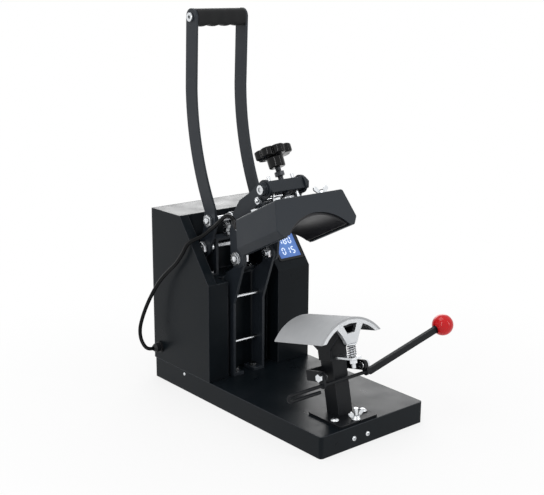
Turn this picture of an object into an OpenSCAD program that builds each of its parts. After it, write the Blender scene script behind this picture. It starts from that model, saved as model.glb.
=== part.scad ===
// Cap heat press: a clamshell press with a curved heated head, a curved lower platen and a
// two-bar lever handle. Millimetres. X runs across the press, +Y points to its back, +Z is up.
// The origin is the middle of the base's flat underside.

/* [Base tray] */
// Width of the base
tray_w = 200; // [180:1:230]
// Length of the base, front to back
tray_l = 400; // [380:1:460]
// Height of the base
tray_h = 32; // [24:1:40]
// Sheet thickness of the base
tray_wall = 2; // [1.5:0.5:3]
// Corner radius of the base in plan
tray_corner = 5; // [3:0.5:10]
// Thickness of the closing plate under the base
base_plate_t = 1.5; // [1:0.5:3]

/* [Housing] */
// Height of the housing above the base
housing_h = 247; // [235:1:270]
// Length of the housing where it stands on the base
housing_l = 148; // [140:1:160]
// Length of the housing's flat top
housing_top_l = 76; // [68:1:84]
// Height of the housing's upright front above the base
housing_front_h = 153; // [140:1:160]
// Sheet thickness of the housing
sheet_t = 1.5; // [1:0.5:2]
// Width of the open recess that the mechanism works in
recess_w = 120; // [116:1:126]
// Reach of the lower slot to the left of the mechanism
slot_reach = 39; // [37:0.5:44]
// Depth of the lower slot from the upright front
slot_depth = 28; // [27:0.5:34]

/* [Control panel] */
// Width of the lit display
screen_w = 42; // [34:1:46]
// Height of the lit display along the slope
screen_h = 40; // [30:1:44]
// Diameter of a key
key_d = 7; // [5:0.5:8]
// Travel of a key
key_travel = 0.8; // [0.5:0.1:1.2]

/* [Mechanism frame] */
// Centre plane of the mechanism, left of the base's middle
mech_x = -24; // [-26:0.5:-22]
// Thickness of the tower, arm, crank and handle plates
plate_t = 4; // [3:0.5:5]
// Inner face of each tower plate from the centre plane
tower_half = 26; // [24:0.5:27]
// Distance back from the base's middle to the arm pivot
pivot_y = 36; // [34:0.5:38]
// Height of the arm pivot
pivot_z = 224; // [220:0.5:228]
// Diameter of the pivot bolts and shafts
shaft_d = 10; // [8:0.5:11]
// Distance back to the handle shaft
crank_y = 105; // [103:0.5:106]
// Height of the handle shaft
crank_z = 229; // [226:0.5:232]

/* [Arm] */
// Length from the arm pivot to the trunnion
arm_len = 131.4; // [128:0.2:135]
// Angle of the open arm above the horizontal, measured from the back
arm_angle = 119.2; // [117:0.2:121]
// Radius of the arm's round end at the trunnion
arm_end_r = 13.5; // [12:0.5:15]

/* [Handle] */
// Length of the crank from the handle shaft to the cross shaft
crank_len = 49.3; // [47:0.1:50]
// Angle of the crank at rest
crank_angle = 112.7; // [110:0.2:115]
// Inner face of each handle bar from the centre plane
bar_half = 44; // [43.5:0.5:46]
// Width of a handle bar
bar_w = 25; // [20:1:28]
// Bending radius of the lower part of a handle bar
bar_bend_r = 385; // [340:5:430]
// Height of the handle's top bolts
handle_top = 572; // [540:1:590]

/* [Head] */
// Nose-up tilt of the head at rest
head_tilt = 26.2; // [24:0.2:28]
// Half width of the hood at its top
hood_top_half = 62.6; // [60:0.2:66]
// Half width of the hood at its shoulder
hood_wide_half = 74.5; // [71:0.5:78]
// Half width of the hood at its lower lips
hood_lip_half = 66.6; // [64:0.2:70]
// Height from the lower lips to the hood's top
hood_h = 53.5; // [50:0.5:57]
// Depth of the hood, front to back
hood_depth = 98.6; // [90:0.2:110]
// Sheet thickness of the hood
hood_t = 2; // [1.5:0.5:2.5]
// Radius of the heated platen's hollow face
press_r = 76; // [74:0.5:79]
// Thickness of the heated platen
press_t = 12; // [9:0.5:13]
// Height from the hood's top to the trunnion's centre
trunnion_up = 27; // [26:0.5:29]
// Diameter of the trunnion bar
trunnion_d = 18; // [16:0.5:20]

/* [Pressure spindle] */
// Diameter of the pressure spindle
spindle_d = 8; // [7:0.5:10]
// Distance from the spindle to each guide rod
guide_dx = 22; // [20:0.5:24]
// Diameter of a guide rod
guide_d = 5; // [4:0.5:6]
// Height of the star knob's underside above the hood
knob_up = 76; // [72:1:84]
// Overall diameter of the star knob
knob_d = 55; // [48:1:58]
// Number of lobes on the star knob
knob_lobes = 7; // [5:1:9]

/* [Lower platen] */
// Place of the lower platen's front edge, in front of the base's middle
platen_front = 170; // [165:1:172]
// Height of the lower platen's front top
platen_top = 178; // [172:1:180]
// Nose-up tilt of the lower platen and its post
platen_tilt = 12; // [11:0.5:13]
// Outer radius of the pad on the lower platen
pad_r = 72; // [68:0.5:73]
// Thickness of the silicone pad
pad_t = 3; // [2:0.5:4]
// Thickness of the lower platen's shell
shell_t = 5; // [4:0.5:7]
// Depth of the lower platen, front to back
platen_depth = 100; // [92:1:106]
// Half width of the lower platen
platen_half = 56; // [50:0.5:58]
// Width of the support post
post_w = 26; // [22:1:30]
// Depth of the support post
post_d = 24.5; // [22:0.5:28]
// Setback of the post from the platen's front edge
post_back = 31.5; // [30:0.5:36]
// Wall of the support post
post_wall = 2.5; // [2:0.5:3]
// Thickness of the foot plate
foot_t = 3; // [2:0.5:4]

/* [Hold-down lever] */
// Half distance between the lever's two ears
ear_half = 36.5; // [34:0.5:40]
// Setback of the lever's axis from the platen's front edge
lever_back = 26; // [25:0.5:27]
// Depth of the lever's axis below the platen's top
lever_down = 76.6; // [74:0.2:80]
// Diameter of the bail's wire
wire_d = 5; // [4:0.5:6]
// Diameter of the ball knob
ball_d = 32; // [26:1:36]

/* [Rear connections] */
// Width of the power inlet's opening
inlet_w = 28; // [26:1:32]
// Height of the power inlet's opening
inlet_h = 21; // [19:1:24]
// Length of a cooling slot
vent_l = 70; // [50:1:90]

/* [Hidden] */
$fn = 64;

// Fits: a shaft that turns, a shaft that is held, and a gap beside a moving piece
run = 0.06;
seat = 0.05;
gap = 0.3;
eps = 0.01;

// Colours
black_coat = "#2c2f33";
black_plastic = "#1b1c1e";
zinc = "#c9ccd0";
aluminium = "#d3d5d6";
dark_coating = "#3a3330";

// Points in the side plane are written as [y, z]
shaft_r = shaft_d / 2;
pivot_p = [pivot_y, pivot_z];
crank_k = [crank_y, crank_z];
cross_h = crank_k + crank_len * [cos(crank_angle), sin(crank_angle)];
trunnion_t = pivot_p + arm_len * [cos(arm_angle), sin(arm_angle)];
link_a = pivot_p + [-20, 38.2];
tie_a = link_a + [16, 12];
small_tie = trunnion_t + [10, -17.5];

// Plates across the mechanism, from the centre plane outwards
arm_half = tower_half + plate_t + 1;
crank_half = bar_half - plate_t;
nut_af = 17;
nut_h = 6.5;
washer = 0.3;

// Housing profile
back_y = tray_l / 2;
housing_front = back_y - housing_l;
top_front = back_y - housing_top_l;
floor_z = tray_h + housing_front_h;
housing_top = tray_h + housing_h;
slope = atan2(housing_top - floor_z, top_front - housing_front);
recess_l = mech_x - recess_w / 2;
recess_r = mech_x + recess_w / 2;
slot_l = mech_x - slot_reach;
slot_back = housing_front + slot_depth;
panel_y = back_y - sheet_t;
flange_w = 12;

// Control panel, measured up the slope from its foot
panel_x = (recess_r + tray_w / 2) / 2 + 3;
bezel_w = screen_w + 8;
bezel_h = screen_h + 8;
bezel_t = 1.2;
screen_y = 14 + bezel_h / 2;
key_pitch = 14;
key_y = screen_y + bezel_h / 2 + 9;
key_hole_r = key_d / 2 + gap;
board_w = 2 * (tray_w / 2 - sheet_t - panel_x - 2.5);
board_l = 78;

// Head frame: local y runs back from the front plate, local z up from the hood's top
hood_mid = hood_depth / 2 + 1.1;
back_vec = [cos(head_tilt), -sin(head_tilt)];
up_vec = [sin(head_tilt), cos(head_tilt)];
hood_o = trunnion_t - hood_mid * back_vec - trunnion_up * up_vec;
shoulder_z = -42.4;
arch_r = press_r + 2;
arch_top = -26.5;
press_top = arch_top - 3.5;
press_zc = press_top - press_r;
arch_zc = arch_top - arch_r;

// Lower platen frame: local y runs back from the front edge, local z up from its top
post_front = post_back;
post_rear = post_back + post_d;
web_t = 6;
stem_z = -36;
tab_z = -58;
foot_top = tray_h + foot_t;
foot_y0 = -196;
foot_y1 = -128;
foot_half = 36;
slot_travel = 5;
wing_y = -188;
foot_screw_y = -174;
foot_screw_dx = 27;

// Lever, in the lower platen's frame except for the ball, which is placed in the room
wire_r = wire_d / 2;
bail_z = -lever_down - 11;
bail_y = lever_back - 1.8;
ball_c = [165, -175, 129];
lever_axis = holder_point([0, lever_back, -lever_down]);
bail_c = holder_point([0, bail_y, bail_z]);
lever_arm_t = 3;
lever_root_x = mech_x + ear_half + 3 + gap + lever_arm_t;

// Heater lead: round points chosen by hand along its route
cable_d = 6;
cable_joint = [-84, 30, 293];
gland_x = -tray_w / 2;
gland_y = 183;
gland_z = 54;
upper_route = [[-82.5, 19.5, 294.4]];
lower_route = [[-84.5, 42, 284], [-85.5, 52, 275.5], [-86.5, 62, 268], [-89, 72, 260],
    [-92.5, 80, 253.5], [-98, 87, 249.5], [-104.5, 96, 242], [-107, 107, 225],
    [-109, 123, 206], [-112, 143, 188], [-115, 160, 170], [-118, 174, 150], [-122, 186, 127],
    [-125, 196, 103], [-127, 200, 85], [-128, 197, 71], [-127, 190.5, 61], [-124, 185.5, 55.5]];

function holder_point(p) = [mech_x + p[0],
    -platen_front + p[1] * cos(platen_tilt) + p[2] * sin(platen_tilt),
    platen_top - p[1] * sin(platen_tilt) + p[2] * cos(platen_tilt)];
function head_point(p) = [mech_x + p[0],
    hood_o[0] + p[1] * back_vec[0] + p[2] * up_vec[0],
    hood_o[1] + p[1] * back_vec[1] + p[2] * up_vec[1]];

// Vector helpers for swept tubes
function unit(v) = v / norm(v);
function tangent(p, i) = unit(p[min(i + 1, len(p) - 1)] - p[max(i - 1, 0)]);
function side_of(t) = unit(cross(t, abs(t[2]) < 0.8 ? [0, 0, 1] : [0, 1, 0]));

// Half angle at which the outer tangents of two circles leave them
function lean(a, b, ra, rb) = acos((ra - rb) / norm(b - a));
function dir(a, b) = atan2(b[1] - a[1], b[0] - a[0]);
function polar(c, r, t) = c + r * [cos(t), sin(t)];

// A strap with round ends between two points, with exact arcs
module strap(a, b, ra, rb) {
    t = lean(a, b, ra, rb);
    d = dir(a, b);
    translate(a) circle(ra);
    translate(b) circle(rb);
    polygon([polar(a, ra, d + t), polar(b, rb, d + t), polar(b, rb, d - t), polar(a, ra, d - t)]);
}

// Turns a [y, z] outline into a plate from x to x + t
module side_plate(x, t) {
    translate([x, 0, 0])
        rotate([90, 0, 90])
            linear_extrude(t) children();
}

// Turns an [x, z] outline into a prism that runs back from y to y + d
module front_prism(y, d) {
    translate([0, y + d, 0])
        rotate([90, 0, 0])
            linear_extrude(d) children();
}

// A cylinder along X from x to x + l at the side point p
module rod_x(x, l, r, p) {
    translate([x, p[0], p[1]])
        rotate([0, 90, 0]) cylinder(h = l, r = r);
}

module hex_x(x, l, af, p) {
    translate([x, p[0], p[1]])
        rotate([0, 90, 0]) cylinder(h = l, r = af / 2 / cos(30), $fn = 6);
}

module hex_z(af, h) {
    cylinder(h = h, r = af / 2 / cos(30), $fn = 6);
}

// Children for the left and the right of the mechanism, or for one side of it
module on_side(s) {
    translate([mech_x, 0, 0])
        scale_side(s) children();
}

module scale_side(s) {
    if (s < 0) mirror([1, 0, 0]) children();
    else children();
}

module both_sides() {
    for (s = [-1, 1]) on_side(s) children();
}

module head_frame() {
    translate([mech_x, hood_o[0], hood_o[1]])
        rotate([-head_tilt, 0, 0]) children();
}

module holder_frame() {
    translate([mech_x, -platen_front, platen_top])
        rotate([-platen_tilt, 0, 0]) children();
}

// The sloping panel: local y runs up the slope, local z out of the sheet
module slope_frame() {
    translate([0, housing_front, floor_z])
        rotate([slope, 0, 0]) children();
}

module round_rect(w, l, r) {
    for (x = [-1, 1], y = [-1, 1])
        translate([x * (w / 2 - r), y * (l / 2 - r)]) circle(r);
    square([w - 2 * r, l], center = true);
    square([w, l - 2 * r], center = true);
}

// A round tube swept along points, closed at both ends
module tube(points, d, sides) {
    n = len(points);
    rings = [for (i = [0:n - 1])
        let (t = tangent(points, i), u = side_of(t), v = cross(t, u))
        for (k = [0:sides - 1])
            points[i] + d / 2 * (cos(360 * k / sides) * u + sin(360 * k / sides) * v)];
    walls = [for (i = [0:n - 2], k = [0:sides - 1])
        let (a = i * sides + k, b = i * sides + (k + 1) % sides)
        each [[a, a + sides, b + sides], [a, b + sides, b]]];
    near = [[for (k = [0:sides - 1]) k]];
    far = [[for (k = [sides - 1:-1:0]) (n - 1) * sides + k]];
    polyhedron(points = rings, faces = concat(walls, near, far), convexity = 6);
}

// Base
module base_tray() {
    color(black_coat)
    difference() {
        union() {
            difference() {
                linear_extrude(tray_h) round_rect(tray_w, tray_l, tray_corner);
                translate([0, 0, -1])
                    linear_extrude(tray_h - tray_wall + 1)
                        round_rect(tray_w - 2 * tray_wall, tray_l - 2 * tray_wall, tray_corner - tray_wall);
            }
            translate([0, 0, base_plate_t])
                linear_extrude(tray_wall)
                    difference() {
                        square([tray_w - 2 * tray_wall + 1, tray_l - 2 * tray_corner], center = true);
                        square([tray_w - 2 * flange_w, tray_l - 4 * flange_w], center = true);
                    }
        }
        for (p = tower_bolt_places()) translate([p[0], p[1], 0]) cylinder(h = tray_h + 1, r = 3 + seat);
        for (p = foot_bolt_places()) translate([p[0], p[1], 0]) cylinder(h = tray_h + 1, r = 3 + seat);
    }
}

function tower_bolt_places() = [for (s = [-1, 1]) [mech_x + s * (tower_half - 9), tower_mid_y]];
function foot_bolt_places() = [[mech_x - foot_screw_dx, foot_screw_y],
    [mech_x + foot_screw_dx, foot_screw_y], [mech_x, wing_y]];

module base_plate() {
    color(zinc)
    linear_extrude(base_plate_t)
        round_rect(tray_w - 2 * tray_wall - 0.4, tray_l - 2 * tray_wall - 0.4, tray_corner - tray_wall);
}

// Pan-head screws in the base's front and sides, and round the rear panel
module frame_screws() {
    color(zinc) {
        for (dx = [-13, 13])
            translate([mech_x - 1 + dx, -tray_l / 2, tray_h - 18.5])
                rotate([90, 0, 0]) pan_head(8, 2.6);
        for (s = [-1, 1])
            translate([s * tray_w / 2, top_front - 7, tray_h - 5])
                rotate([0, s * 90, 0]) pan_head(7, 2);
        for (x = [-1, 1], z = [0, 0.5, 1])
            translate([x * (tray_w / 2 - 8), back_y, tray_h + 10 + z * (housing_h - 20)])
                rotate([-90, 0, 0]) pan_head(7, 2);
    }
}

module pan_head(d, h) {
    intersection() {
        cylinder(h = h, r = d / 2);
        translate([0, 0, h - d * 0.62]) sphere(d * 0.62);
    }
}

// Housing: a folded sheet shell, open at the back and underneath
module housing_outline() {
    polygon([[housing_front, tray_h], [housing_front, floor_z], [top_front, housing_top],
        [panel_y, housing_top], [panel_y, tray_h]]);
}

module cheek_void(x0, x1) {
    drop = sheet_t / cos(slope);
    k = tan(slope);
    side_plate(x0, x1 - x0)
        polygon([[housing_front + sheet_t, tray_h - 1],
            [housing_front + sheet_t, floor_z + k * sheet_t - drop],
            [top_front + (drop - sheet_t) / k, housing_top - sheet_t],
            [panel_y - sheet_t, housing_top - sheet_t], [panel_y - sheet_t, tray_h - 1]]);
}

module box_void(x0, x1, y0, z1) {
    translate([x0, y0, tray_h - 1])
        cube([x1 - x0, panel_y - sheet_t - y0, z1 - tray_h + 1]);
}

module housing() {
    color(black_coat)
    difference() {
        side_plate(-tray_w / 2, tray_w) housing_outline();
        translate([recess_l, housing_front - 1, floor_z])
            cube([recess_w, top_front - housing_front + 1, housing_h]);
        translate([slot_l, housing_front - 1, tray_h - 1])
            cube([recess_r - slot_l, slot_depth + 1, housing_front_h + 2]);
        cheek_void(-tray_w / 2 + sheet_t, recess_l - sheet_t);
        cheek_void(recess_r + sheet_t, tray_w / 2 - sheet_t);
        box_void(-tray_w / 2 + sheet_t, tray_w / 2 - sheet_t, top_front + sheet_t, housing_top - sheet_t);
        box_void(-tray_w / 2 + sheet_t, slot_l - sheet_t, housing_front + sheet_t, floor_z - sheet_t);
        box_void(slot_l - sheet_t - 1, tray_w / 2 - sheet_t, slot_back + sheet_t, floor_z - sheet_t);
        translate([-tray_w / 2 + flange_w, panel_y - sheet_t - 1, tray_h - 1])
            cube([tray_w - 2 * flange_w, 2 * sheet_t + 2, housing_h - flange_w + 1]);
        slope_frame()
            translate([panel_x, screen_y, -5])
                linear_extrude(10) square([screen_w + 2, screen_h + 2], center = true);
        slope_frame()
            for (i = [-1:1]) translate([panel_x + i * key_pitch, key_y, -5]) cylinder(h = 10, r = key_hole_r);
    }
}

module rear_panel() {
    color(black_coat)
    difference() {
        translate([-tray_w / 2, panel_y, tray_h]) cube([tray_w, sheet_t, housing_h]);
        for (i = [0:6])
            translate([0, panel_y - 1, tray_h + 150 + i * 10])
                rotate([-90, 0, 0])
                    linear_extrude(sheet_t + 2) round_rect(vent_l, 4, 1.9);
        translate([inlet_x - inlet_w / 2, panel_y - 1, inlet_z - inlet_h / 2])
            cube([inlet_w, sheet_t + 2, inlet_h]);
        translate([rocker_x - rocker_w / 2 - rocker_gap, panel_y - 1, inlet_z - rocker_h / 2 - rocker_gap])
            cube([rocker_w + 2 * rocker_gap, sheet_t + 2, rocker_h + 2 * rocker_gap]);
        translate([fuse_x, panel_y - 1, inlet_z])
            rotate([-90, 0, 0]) cylinder(h = sheet_t + 2, r = 6.2);
    }
}

inlet_x = 60;
inlet_z = tray_h + 34;
rocker_x = inlet_x - 36;
fuse_x = rocker_x - 28;
rocker_w = 12;
rocker_h = 20;
rocker_gap = 1.2;
rocker_tilt = 8;

// Mains inlet with its three blades, the rocker's frame and the fuse cap
module power_inlet() {
    color(black_plastic) {
        difference() {
            union() {
                translate([inlet_x - inlet_w / 2 + gap, back_y - 20, inlet_z - inlet_h / 2 + gap])
                    cube([inlet_w - 2 * gap, 20, inlet_h - 2 * gap]);
                translate([inlet_x - inlet_w / 2 - 3, back_y, inlet_z - inlet_h / 2 - 3])
                    cube([inlet_w + 6, 2, inlet_h + 6]);
            }
            translate([inlet_x - inlet_w / 2 + 2.5, back_y - 17, inlet_z - inlet_h / 2 + 2.5])
                cube([inlet_w - 5, 20, inlet_h - 5]);
        }
        for (p = [[-7, 2], [7, 2], [0, -3]])
            translate([inlet_x + p[0] - 1, back_y - 17 - eps, inlet_z + p[1] - 2])
                cube([2, 13, 4]);
        difference() {
            translate([rocker_x - rocker_w / 2 - 3, back_y, inlet_z - rocker_h / 2 - 3])
                cube([rocker_w + 6, 2, rocker_h + 6]);
            translate([rocker_x - rocker_w / 2 - rocker_gap, back_y - 1, inlet_z - rocker_h / 2 - rocker_gap])
                cube([rocker_w + 2 * rocker_gap, 4, rocker_h + 2 * rocker_gap]);
        }
        translate([fuse_x, back_y - 18, inlet_z])
            rotate([-90, 0, 0]) cylinder(h = 18, r = 6.2 - gap);
        translate([fuse_x, back_y, inlet_z])
            rotate([-90, 0, 0]) cylinder(h = 7, r = 8);
    }
}

// The rocker turns on its own middle and lies pressed at its lower end
module power_rocker() {
    color("#a82020")
    translate([rocker_x - rocker_w / 2, back_y, inlet_z])
        rotate([rocker_tilt, 0, 0])
            side_plate(0, rocker_w)
                polygon([[-4, 1 - rocker_h / 2], [4.5, -rocker_h / 2], [2.5, 0],
                    [4.5, rocker_h / 2], [-4, rocker_h / 2 - 1]]);
}

// Control panel
module display_bezel() {
    color(black_plastic)
    slope_frame()
        translate([panel_x, screen_y, 0])
            linear_extrude(bezel_t)
                difference() {
                    round_rect(bezel_w, bezel_h, 3);
                    square([screen_w, screen_h], center = true);
                }
}

module display_screen() {
    color("#3f7fb5")
    slope_frame()
        translate([panel_x, screen_y, -sheet_t])
            linear_extrude(sheet_t + 0.6) square([screen_w - 0.4, screen_h - 0.4], center = true);
}

// Circuit board behind the keys, with its relay and two capacitors
module control_board() {
    board_y = (screen_y + key_y) / 2;
    color("#1f5a3a")
    slope_frame() {
        translate([panel_x, board_y, -9])
            linear_extrude(1.6) square([board_w, board_l], center = true);
        translate([panel_x - board_w / 2 + 7, board_y - 30, -22]) cube([20, 16, 13]);
        for (dx = [17, 7])
            translate([panel_x + board_w / 2 - dx, board_y - 22, -27]) cylinder(h = 18, r = 4);
        for (dx = [3 - board_w / 2, board_w / 2 - 3], dy = [3 - board_l / 2, board_l / 2 - 3])
            translate([panel_x + dx, board_y + dy, -7.4]) cylinder(h = 7.4 - sheet_t, r = 2.5);
    }
}

module key_at(i) {
    color("#d8dadc")
    slope_frame()
        translate([panel_x + i * key_pitch, key_y, 0]) {
            translate([0, 0, -5]) cylinder(h = 7, r = key_d / 2);
            translate([0, 0, -5]) cylinder(h = 5 - sheet_t - gap, r = key_d / 2 + 1.5);
        }
}

module key_left() { key_at(-1); }
module key_middle() { key_at(0); }
module key_right() { key_at(1); }

// Cable gland on the housing's left side
module cable_gland() {
    color(black_plastic)
    translate([gland_x, gland_y, gland_z])
        rotate([0, -90, 0]) {
            cylinder(h = 3, r = 9);
            cylinder(h = 10, r = 7);
            translate([0, 0, 10]) cylinder(h = 4, r1 = 7, r2 = 4.2);
        }
}

gland_mouth = [gland_x - 14, gland_y, gland_z];

module head_cable_lower() {
    color(black_plastic)
    tube(concat([cable_joint, cable_joint + joint_lead], lower_route,
        [gland_mouth + [-3, 0, 0], gland_mouth]), cable_d, 8);
}

joint_lead = 4 * [0, back_vec[0], back_vec[1]];
elbow_rise = 70;
elbow_l = 8;
hood_gland_dx = -58;
hood_gland_z = -8;
elbow_y = hood_depth + 7;
elbow_dir = [0, cos(elbow_rise), sin(elbow_rise)];
hood_exit = head_point([hood_gland_dx, elbow_y, hood_gland_z] + elbow_l * elbow_dir);
hood_lead = head_point([hood_gland_dx, elbow_y, hood_gland_z] + (elbow_l + 3) * elbow_dir);

module head_cable_upper() {
    color(black_plastic)
    tube(concat([hood_exit, hood_lead], upper_route, [cable_joint - joint_lead, cable_joint]), cable_d, 8);
}

// Tower: two bent plates with feet, joined by tie rods
tower_front = housing_front - 2;
tower_rear = slot_back - 4;
tower_mid_y = (tower_front + tower_rear) / 2;
pivot_lobe = 13;

module tower_side() {
    difference() {
        union() {
            side_plate(tower_half, plate_t) {
                translate(pivot_p) circle(pivot_lobe);
                polygon([[tower_front, tray_h], [tower_rear, tray_h], [tower_rear, floor_z - 1],
                    [tower_rear - 10, floor_z + 10], pivot_p + [pivot_lobe + 1, -18],
                    pivot_p + [pivot_lobe, 0], pivot_p + [-pivot_lobe, 0], [tower_front, floor_z - 35]]);
            }
            translate([tower_half - 16, tower_front, tray_h])
                cube([16 + eps, tower_rear - tower_front, plate_t]);
        }
        rod_x(tower_half - 1, plate_t + 2, shaft_r + seat, pivot_p);
        translate([tower_half - 9, tower_mid_y, 0]) cylinder(h = tray_h + 10, r = 3 + seat);
    }
}

module tower_left() { color(black_coat) on_side(-1) tower_side(); }
module tower_right() { color(black_coat) on_side(1) tower_side(); }

module tower_rods() {
    color(zinc)
    for (p = [[tower_front + 10, floor_z - 29], [tower_mid_y + 2, tray_h + 50]])
        translate([mech_x, 0, 0]) rod_x(-tower_half, 2 * tower_half, 2.5, p);
}

// Hex bolts that hold the tower and the handle bracket down
module frame_bolts() {
    color(zinc) {
        for (p = tower_bolt_places())
            translate([p[0], p[1], tray_h + plate_t]) {
                hex_z(10, 4);
                translate([0, 0, -plate_t - tray_wall]) cylinder(h = plate_t + tray_wall + eps, r = 3);
            }
        both_sides()
            for (y = bracket_bolt_y)
                translate([bracket_half + plate_t + 7, y, floor_z + 3]) hex_z(8, 3.5);
    }
}

// Shoulder bolts that the arms turn on, with a low head that the cranks pass and a nut inside
pivot_head_h = crank_half - arm_half - plate_t - washer - 0.4;

module pivot_bolts() {
    color(zinc)
    both_sides() {
        rod_x(tower_half - nut_h - 3, arm_half + plate_t + washer + 3 + nut_h - tower_half, shaft_r, pivot_p);
        hex_x(arm_half + plate_t + washer, pivot_head_h, nut_af, pivot_p);
        rod_x(arm_half + plate_t + washer, 1.2, nut_af / 2 + 1.5, pivot_p);
        hex_x(tower_half - nut_h, nut_h, nut_af, pivot_p);
    }
}

// Handle bracket: an inverted U that stands on the recess's floor
bracket_half = 26;
bracket_w = 24;
bracket_top = crank_z + shaft_r + 8;
bracket_bolt_y = [crank_y - 7, crank_y + 7];

module handle_bracket() {
    color(black_coat)
    difference() {
        union() {
            both_sides() {
                translate([bracket_half, crank_y - bracket_w / 2, floor_z])
                    cube([plate_t, bracket_w, bracket_top - floor_z]);
                translate([bracket_half, crank_y - bracket_w / 2, floor_z])
                    cube([plate_t + 14, bracket_w, 3]);
            }
            translate([mech_x - bracket_half - eps, crank_y - bracket_w / 2, bracket_top - 3])
                cube([2 * bracket_half + 2 * eps, bracket_w, 3]);
        }
        translate([mech_x, 0, 0])
            rod_x(-bracket_half - plate_t - 1, 2 * (bracket_half + plate_t + 1), shaft_r + seat, crank_k);
        translate([mech_x, crank_y, bracket_top - 5]) cylinder(h = 10, r = 4 + seat);
    }
}

// Stop screw with its lock nut, standing on the bracket
module stop_bolt() {
    color(zinc)
    translate([mech_x, crank_y, bracket_top]) {
        translate([0, 0, -3]) cylinder(h = 15, r = 4);
        hex_z(13, 6);
        translate([0, 0, 12]) hex_z(13, 5);
        translate([0, 0, 17]) cylinder(h = 3, r = 5);
    }
}

// Shaft that the handle's cranks turn on, held in the bracket by nuts
module handle_shaft() {
    color(zinc)
    translate([mech_x, 0, 0]) {
        reach = bar_half + washer;
        rod_x(-reach, 2 * reach, shaft_r, crank_k);
        for (s = [-1, 1]) {
            hex_x(s > 0 ? reach : -reach - nut_h, nut_h, nut_af, crank_k);
            rod_x(s > 0 ? bracket_half + plate_t : -bracket_half - plate_t - 5, 5, shaft_r + 4, crank_k);
        }
    }
}

// Handle
bend_c = [cross_h[0] + 43.8 - bar_bend_r, 470];
bend_low = asin((bend_c[1] - cross_h[1] - 15.5) / bar_bend_r);
bar_low = bend_c + bar_bend_r * [cos(bend_low), -sin(bend_low)];
bar_high = [bend_c[0] + bar_bend_r, bend_c[1]];
bar_top = [bar_high[0] - 4, handle_top];

module bar_outline() {
    difference() {
        intersection() {
            difference() {
                translate(bend_c) circle(bar_bend_r + bar_w / 2, $fn = 360);
                translate(bend_c) circle(bar_bend_r - bar_w / 2, $fn = 360);
            }
            polygon([bend_c, polar(bend_c, 2 * bar_bend_r, -bend_low), polar(bend_c, 2 * bar_bend_r, 0)]);
        }
    }
    strap(bar_low, cross_h, bar_w / 2, 14);
    strap(bar_high, bar_top, bar_w / 2, bar_w / 2);
}

module bar_side() {
    difference() {
        side_plate(bar_half, plate_t) bar_outline();
        rod_x(bar_half - 1, plate_t + 2, shaft_r + seat, cross_h);
        rod_x(bar_half - 1, plate_t + 2, 4, bar_top);
    }
}

module handle_bar_left() { color(black_coat) on_side(-1) bar_side(); }
module handle_bar_right() { color(black_coat) on_side(1) bar_side(); }

module crank_plates() {
    color(black_coat)
    both_sides()
        difference() {
            side_plate(crank_half, plate_t) strap(cross_h, crank_k, 13, 13);
            rod_x(crank_half - 1, plate_t + 2, shaft_r + seat, cross_h);
            rod_x(crank_half - 1, plate_t + 2, shaft_r + run, crank_k);
        }
}

module cross_shaft() {
    reach = bar_half + plate_t;
    color(zinc)
    translate([mech_x, 0, 0]) {
        rod_x(-reach, 2 * reach, shaft_r, cross_h);
        for (s = [-1, 1]) {
            hex_x(s > 0 ? reach : -reach - 5, 5, nut_af, cross_h);
            rod_x(s > 0 ? link_out + gap : -link_out - gap - 3, 3, shaft_r + 3, cross_h);
        }
    }
}

// Grip between the bars, with finger grooves underneath
grip_w = 28;
grip_h = 26;

module handle_grip() {
    color(black_plastic)
    difference() {
        side_plate(mech_x - bar_half, 2 * bar_half)
            translate(bar_top - [0, 1]) round_rect(grip_w, grip_h, 9);
        for (i = [-1.5:1:1.5])
            translate([mech_x + i * 20, bar_top[0] + grip_w, bar_top[1] - grip_h / 2 - 16])
                rotate([90, 0, 0]) cylinder(h = 2 * grip_w, r = 17.5);
        translate([mech_x, 0, 0])
            for (s = [-1, 1]) rod_x(s > 0 ? bar_half - 14 : -bar_half - 1, 15, 4, bar_top);
    }
}

module grip_screws() {
    color(zinc)
    both_sides() {
        rod_x(bar_half - 12, plate_t + 12, 4 - seat, bar_top);
        difference() {
            rod_x(bar_half + plate_t, 4, 6.5, bar_top);
            hex_x(bar_half + plate_t + 2, 3, 5, bar_top);
        }
    }
}

// Drive link: two slim plates from the cross shaft to the arms' lug
link_in = 3.5;
link_t = 3;
link_out = link_in + link_t;
link_bar_r = 4.5;
link_eye_r = 6.5;

module drive_link() {
    color(black_coat)
    both_sides()
        difference() {
            side_plate(link_in, link_t) {
                strap(cross_h, link_a, link_bar_r, link_bar_r);
                translate(cross_h) circle(link_eye_r + 2);
                translate(link_a) circle(link_eye_r);
            }
            rod_x(link_in - 1, link_t + 2, shaft_r + run, cross_h);
            rod_x(link_in - 1, link_t + 2, 3 + seat, link_a);
        }
}

module link_pins() {
    color(zinc)
    both_sides() {
        rod_x(link_in, link_t, 3, link_a);
        rod_x(link_out, 2.5, 5, link_a);
    }
}

// Arms
arm_lobe = 14;

module arm_outline() {
    translate(pivot_p) circle(arm_lobe);
    translate(trunnion_t) circle(arm_end_r);
    polygon([pivot_p + [arm_lobe, 0], pivot_p + [17, 38], trunnion_t + [73, -47], trunnion_t + [57, -25],
        trunnion_t + [31, -8.5], trunnion_t + [9, 10.1], trunnion_t, trunnion_t + [-4, -12.9],
        trunnion_t + [23, -30.5], pivot_p + [-28, 68], pivot_p + [-19, 46], pivot_p + [-arm_lobe, 0]]);
}

module arm_side() {
    difference() {
        side_plate(arm_half, plate_t) arm_outline();
        rod_x(arm_half - 1, plate_t + 2, shaft_r + run, pivot_p);
        rod_x(arm_half - 1, plate_t + 2, shaft_r + run, trunnion_t);
    }
}

module arm_left() { color(black_coat) on_side(-1) arm_side(); }
module arm_right() { color(black_coat) on_side(1) arm_side(); }

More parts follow.
